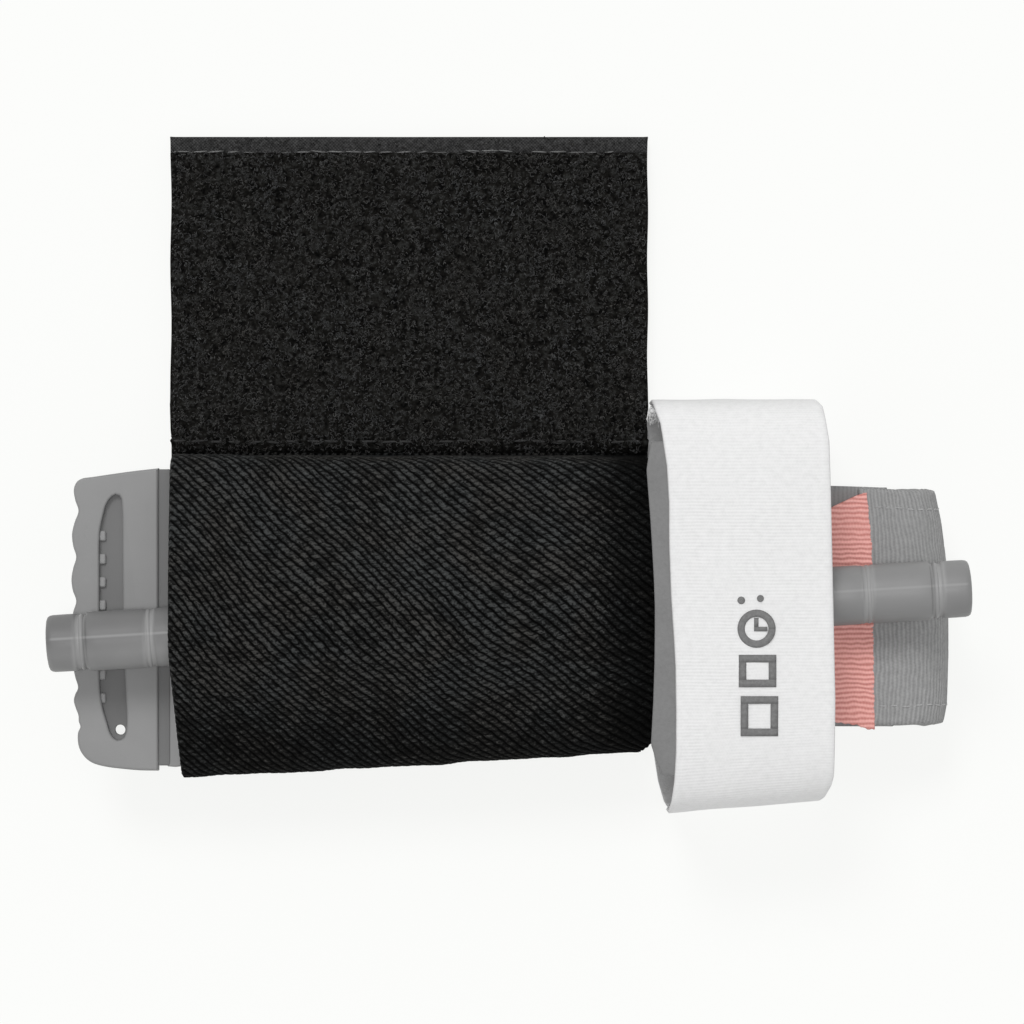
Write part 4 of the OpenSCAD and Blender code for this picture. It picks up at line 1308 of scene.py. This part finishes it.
def strap_shell(name, line, step, sides, thick, columns, ribs=False):
    """A piece of the strap along a (y, z) line, between its left and right side."""
    s = np.arange(0, arc_length(line)[-1], step)
    p = resample(line, s)
    y = p[:, 0]
    x = between(np.interp(y, *sides[0]), np.interp(y, *sides[1]), np.linspace(0, 1, columns))
    ss = np.broadcast_to(s, x.shape)
    slant = 2.1 * np.clip((x - 25.5) / 25, 0, 1) * smooth01((-y - 10) / 22)
    grid = grid_of(x, y + slant, p[:, 1])
    lift = 0.1 * wave(x, ss, 81, 17)
    inner_lift = lift - thick
    if ribs:
        lift = lift + 0.012 * np.cos(math.tau * (ss / STRAP_RIB + 0.1 * wave(x, ss, 82, 12)))
    edge = np.ones(columns)
    edge[[0, -1]] = 0.7
    normal = normals_of(grid)
    return shell(name, grid + normal * (lift * edge[:, None])[..., None], thick, pairs(x, ss), rim=0.35,
                 inner=grid + normal * inner_lift[..., None])


def strap_piece(obj, paint, body, slot, node):
    keep(obj, paint, body, slot, node)


FRONT, BACK, LIP = (FRONT_LEFT, FRONT_RIGHT), (BACK_LEFT, BACK_RIGHT), (LIP_LEFT, LIP_RIGHT)
front = strap_shell("strap_front_tape", ring_line(179.4, -9, 0), 0.11, FRONT, STRAP_FACE, 34, ribs=True)
inside = put(strap_shell("inside", ring_line(178, -8.6, STRAP_FACE), 0.6, FRONT, 0.48, 30), LINING)
lip = put(strap_shell("lip", ring_line(150, 30, STRAP_FACE - 0.02), 0.6, LIP, 0.44, 9), LINING_EDGE)
lining = merge("strap_front_lining_pile", [inside, lip])
back = strap_shell("strap_back_tape", ring_line(367, 182, 0, LAP), 0.16, BACK, STRAP_FACE, 26, ribs=True)
line = ring_line(366.5, 182, STRAP_FACE, LAP)
back_lining = strap_shell("strap_back_lining_pile", line, 0.6, BACK, 0.48, 26)
strap_piece(front, WHITE, "strap_flap", "white_strap",
            "strap_front")
strap_piece(lining, None, "strap_flap", "grey_lining",
            "strap_front_lining")
strap_piece(back, WHITE, "tourniquet", "white_strap",
            "strap_back")
strap_piece(back_lining, LINING, "tourniquet", "grey_lining",
            "strap_back_lining")

tack = [(x, y, STRAP_T) for y in (-12, 0, 12) for x in np.arange(28.5, 45.5, 2.4)]
keep(thread_rows("strap_tack_threads", tack, np.array(tack) + (1.8, 0, 0), 0.05, 0.2, sag=0.02),
     GREY_THREAD, "tourniquet", "grey_thread", "strap_stitching")


def strap_fray():
    """Loose threads at the cut end of the strap's back half, by the sleeve."""
    count = 130
    x = RNG.uniform(22.6, 25.4, count)
    y = 31.5 + RNG.normal(0, 0.3, count) - 0.15 * (x - 24)
    z = RNG.uniform(18.8, 20.8, count)
    way = grid_of(RNG.normal(0, 0.4, count), RNG.normal(-1.5, 0.6, count), RNG.uniform(0.2, 1.0, count))
    lines = strands(grid_of(x, y, z), way, RNG.normal(0, 0.25, (count, 3)), 6)
    return tubes("strap_fray_threads", lines, 0.06, sides=4, uv_scale=3)


keep(strap_fray(), WHITE, "tourniquet", "white_strap")


def decal(x, y):
    """A thin printed patch on the strap's face, from grids of x and y."""
    z = STRAP_HZ * (1 + (1 - np.abs(y / STRAP_HY) ** RING_POWER) ** (1 / RING_POWER)) + 0.16
    return shell("ink", grid_of(x, y, z), 0.09, pairs(x, y + 60.0), rim=0.0)


def bar_decal(x0, y0, x1, y1):
    """A printed bar."""
    nx, ny = max(int((x1 - x0) / 0.4), 3), max(int((y1 - y0) / 0.4), 3)
    return decal(*np.meshgrid(np.linspace(x0, x1, nx), np.linspace(y0, y1, ny), indexing="ij"))


def ring_decal(cx, cy, r0, r1):
    """A printed ring or dot."""
    r, a = np.meshgrid(np.linspace(r0, r1, 4), np.linspace(0, math.tau, 48), indexing="ij")
    return decal(cx + r * np.cos(a), cy + r * np.sin(a))


def strap_print():
    """Generic printed marks: two dots, a small clock face and two write-in boxes."""
    parts = [ring_decal(36.5, 1.15, 0.02, 0.6), ring_decal(39.5, 1.45, 0.02, 0.55)]
    parts += [ring_decal(38.9, -3.3, 1.85, 3.0)]
    parts += [bar_decal(38.5, -3.7, 40.6, -3.0), bar_decal(38.5, -3.0, 39.2, -1.6)]
    w = 1.2  # the width of a box's lines
    for x0, y0, x1, y1 in ((36.1, -12.5, 42.0, -7.4), (36.4, -20.2, 42.3, -13.9)):
        parts += [bar_decal(x0, y0, x1, y0 + w), bar_decal(x0, y1 - w, x1, y1),
                  bar_decal(x0, y0 + w, x0 + w, y1 - w), bar_decal(x1 - w, y0 + w, x1, y1 - w)]
    return merge("strap_print_marks", parts)


keep(strap_print(), INK, "strap_flap", "white_strap")

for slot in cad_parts["clip_rivets"].material_slots:
    slot.material = PLASTIC.material


# ---------------------------------------------------------------- camera, floor and light

scene = bpy.context.scene
camera = bpy.data.objects.new("camera", bpy.data.cameras.new("camera"))
camera.location = (0.00048, -0.00662, 0.8)  # straight above the object, as in the photo
camera.data.sensor_width, camera.data.lens = 36.0, 171.2
camera.data.clip_start, camera.data.clip_end = 0.01, 20
scene.collection.objects.link(camera)
scene.camera = camera

FLOOR_HALF, FLOOR_Z = 3, -0.0004
floor_mesh = bpy.data.meshes.new("floor")
corners = [(x * FLOOR_HALF, y * FLOOR_HALF, FLOOR_Z) for x, y in ((-1, -1), (1, -1), (1, 1), (-1, 1))]
floor_mesh.from_pydata(corners, [], [(0, 1, 2, 3)])
floor = bpy.data.objects.new("floor", floor_mesh)
scene.collection.objects.link(floor)
pale = Paint("pale_floor", Roughness=0.9, Specular_IOR_Level=0.0, Emission_Strength=0.83)
pale.shader.inputs["Base Color"].default_value = (0.15, 0.151, 0.149, 1)
pale.shader.inputs["Emission Color"].default_value = (0.985, 0.99, 0.975, 1)
put(floor, pale)

world = bpy.data.worlds.new("studio")
world.use_nodes = True
world.node_tree.nodes["Background"].inputs[0].default_value = (1.0, 1.0, 1.0, 1)
world.node_tree.nodes["Background"].inputs[1].default_value = 0.46
scene.world = world


def sun(name, strength, angle, direction):
    """A sun lamp that shines along a direction. angle is its size in degrees."""
    light = bpy.data.lights.new(name, "SUN")
    light.energy, light.angle = strength, math.radians(angle)
    obj = bpy.data.objects.new(name, light)
    obj.rotation_euler = Vector(direction).to_track_quat("-Z", "Y").to_euler()
    scene.collection.objects.link(obj)


sun("key", 1.1, 20, (0.25, -0.66, -1.0))
sun("overhead", 0.95, 8, (0.0, 0.0, -1.0))
scene.view_settings.view_transform = "Standard"
